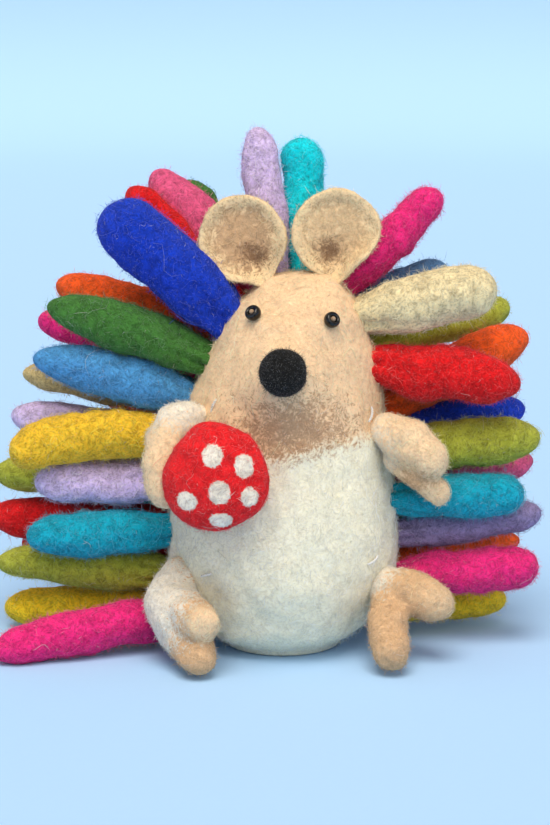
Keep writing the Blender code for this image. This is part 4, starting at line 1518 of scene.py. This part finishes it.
def build_limbs() -> None:
    """Make the arms and legs."""
    cream: Colour = (0.95, 0.86, 0.68)
    peach: Colour = (0.92, 0.62, 0.38)
    tan: Colour = (0.68, 0.42, 0.23)
    zones = {
        "arm_left": (BallZone(cream, mm(-24, -12, 64), mm(15, 15, 10.5), 0.55),),
        "arm_right": (
            BallZone(cream, mm(24, -9, 53), mm(9, 12, 12), 0.35, 0.8),
            BallZone(tan, mm(33, -16, 46.5), mm(7, 7, 4.5), 0.4),
        ),
        "leg_left": (
            BallZone(peach, mm(-18.6, -35, 14.5), mm(6.5, 8, 5.8), 0.55),
            BallZone(cream, mm(-29, -17, 14), mm(13.5, 19, 16), 0.70),
        ),
        "leg_right": (
            BallZone(cream, mm(23, -10, 20), mm(10, 12, 10), 0.45),
            BallZone(peach, mm(39, -22, 17), mm(9, 9, 7), 0.3, 0.5),
        ),
    }
    lobes = {
        "arm_left": (
            Lobe(((-20.8, -13, 60.2), (-25.5, -16, 60.0), (-28.6, -19.5, 55.5)), (3.4, 5.0, 4.9)),
            Lobe(((-28.4, -20, 56), (-29.6, -25, 50), (-28.6, -27, 44.8)), (4.9, 4.5, 3.9)),
            Lobe(((-28.5, -23, 50), (-23.5, -24.5, 47)), (3.6, 3.1)),
        ),
        "arm_right": (
            Lobe(((25.2, -11.5, 56.8), (30.0, -14, 54.8), (35.6, -17, 50.8)), (4.4, 6.0, 4.9)),
            Lobe(((28.8, -12.5, 50.5), (34.0, -14.5, 45.6), (38.2, -15.5, 42.2)), (4.3, 3.5, 3.1)),
        ),
        "leg_left": (
            Lobe(((-25.0, -12, 19.5), (-27.4, -17, 14.6), (-25.0, -23, 12.0)), (5.6, 7.0, 6.4)),
            Lobe(((-25.5, -21, 14.2), (-19.6, -33, 13.8)), (6.2, 4.5)),
            Lobe(((-25.5, -21, 9.5), (-20.6, -32.5, 5.5)), (6.2, 4.6)),
        ),
        "leg_right": (
            Lobe(((25.8, -13.5, 17.8), (31.5, -17, 17.2), (37.0, -20, 15.6)), (5.2, 5.8, 5.1)),
            Lobe(((26.8, -16, 14.8), (25.6, -24, 10.4), (26.2, -30, 6.0)), (5.0, 5.0, 4.6)),
        ),
    }
    for number, node in enumerate(lobes):
        base = peach if node.startswith("arm") else tan
        felt = WoolFelt(f"{node}_wool", base, zones[node], stray=0.10, contrast=0.28, cloud=0.10)
        FeltLimb(node, felt, lobes[node], seed=60 + 10 * number).build()
        LOG.info("limb %s", node)


def build_ears() -> None:
    """Make both ears, each with a brown inside that is darkest above its stalk.

    Each row: side, height of the folded lip and its direction, seed, strength of the brown, and
    how far the dimple is to one side.
    """
    rows = ("left", 0.7 * MM, -2.1, 41, 0.80, 0.03), ("right", 3.4 * MM, -0.80, 51, 0.40, -0.16)
    for side, lip, lip_turn, seed, brown, aside in rows:
        middle, stalk = node_points(f"ear_{side}").mean(0), joint_place(f"ear_{side}")
        inner, low = (middle + share * (stalk - middle) for share in (0.06, 0.46))
        zones = (
            BallZone(EAR_BROWN, tuple(inner), mm(10.2, 12, 10.2), 0.55, brown, 0.7),
            BallZone(EAR_DARK, tuple(low + np.array(mm(11 * aside, 0, 0))), mm(5.0, 9, 5.6), 0.15, 0.85),
        )
        felt = WoolFelt(f"ear_wool_{side}", EAR_RIM, zones, contrast=0.30, cloud=0.12)
        FeltEar(side, felt, lip, lip_turn, seed, dimple=(aside, -0.66)).build()


def main() -> None:
    """Build the hedgehog piece by piece."""
    place_camera()
    place_lights()
    place_floor()
    zones = (
        BallZone(BROW_PEACH, mm(1, -20, 88), mm(12, 12, 8), 0.2, 0.35),
        BallZone(CHIN_BROWN, mm(4, -27, 59.5), mm(22, 15, 11.5), 0.25, 0.72, 1.8),
        PlaneZone(BELLY_CREAM, mm(0, 0, 52.6), (0.153, 0.0, -1.0), 4.5 * MM),
    )
    wool = WoolFelt("body_wool", HEAD_BEIGE, zones, paler=0.34, contrast=0.20, cloud=0.05, stray=0.12)
    body = WoolBody(wool)
    hub = np.array((0.0, 0.0, 0.5 * body.height))
    roots = build_quills(hub) + build_back(body, hub)
    nose = node_points("nose").mean(0)
    eyes = [node_points(f"eye_{side}").mean(0) for side in ("left", "right")]
    mounds = [(*root, 0.9 * MM, 4.5 * MM) for root in roots]
    mounds += [(*eye, 0.45 * MM, 2.6 * MM) for eye in eyes] + [(*nose, 1.2 * MM, 7 * MM)]
    mounds += [(*joint_place(f"ear_{side}"), 1.1 * MM, 3.5 * MM) for side in ("left", "right")]
    body.build(np.array(mounds))
    LOG.info("body, %d mounds", len(mounds))
    FeltNose(WoolFelt("nose_black", (0.009, 0.009, 0.009), paler=0.15, stray=0.01, sheen=0.04)).build()
    for side in ("left", "right"):
        BeadEye(side).build()
    build_ears()
    build_limbs()
    ToadstoolCap().build()
    for node in sorted(n for n in frame["nodes"] if n.startswith("thread_")):
        SewnStitch(node).build()


if __name__ == "__main__":
    logging.basicConfig(level=logging.INFO, format="%(name)s: %(message)s")
    main()
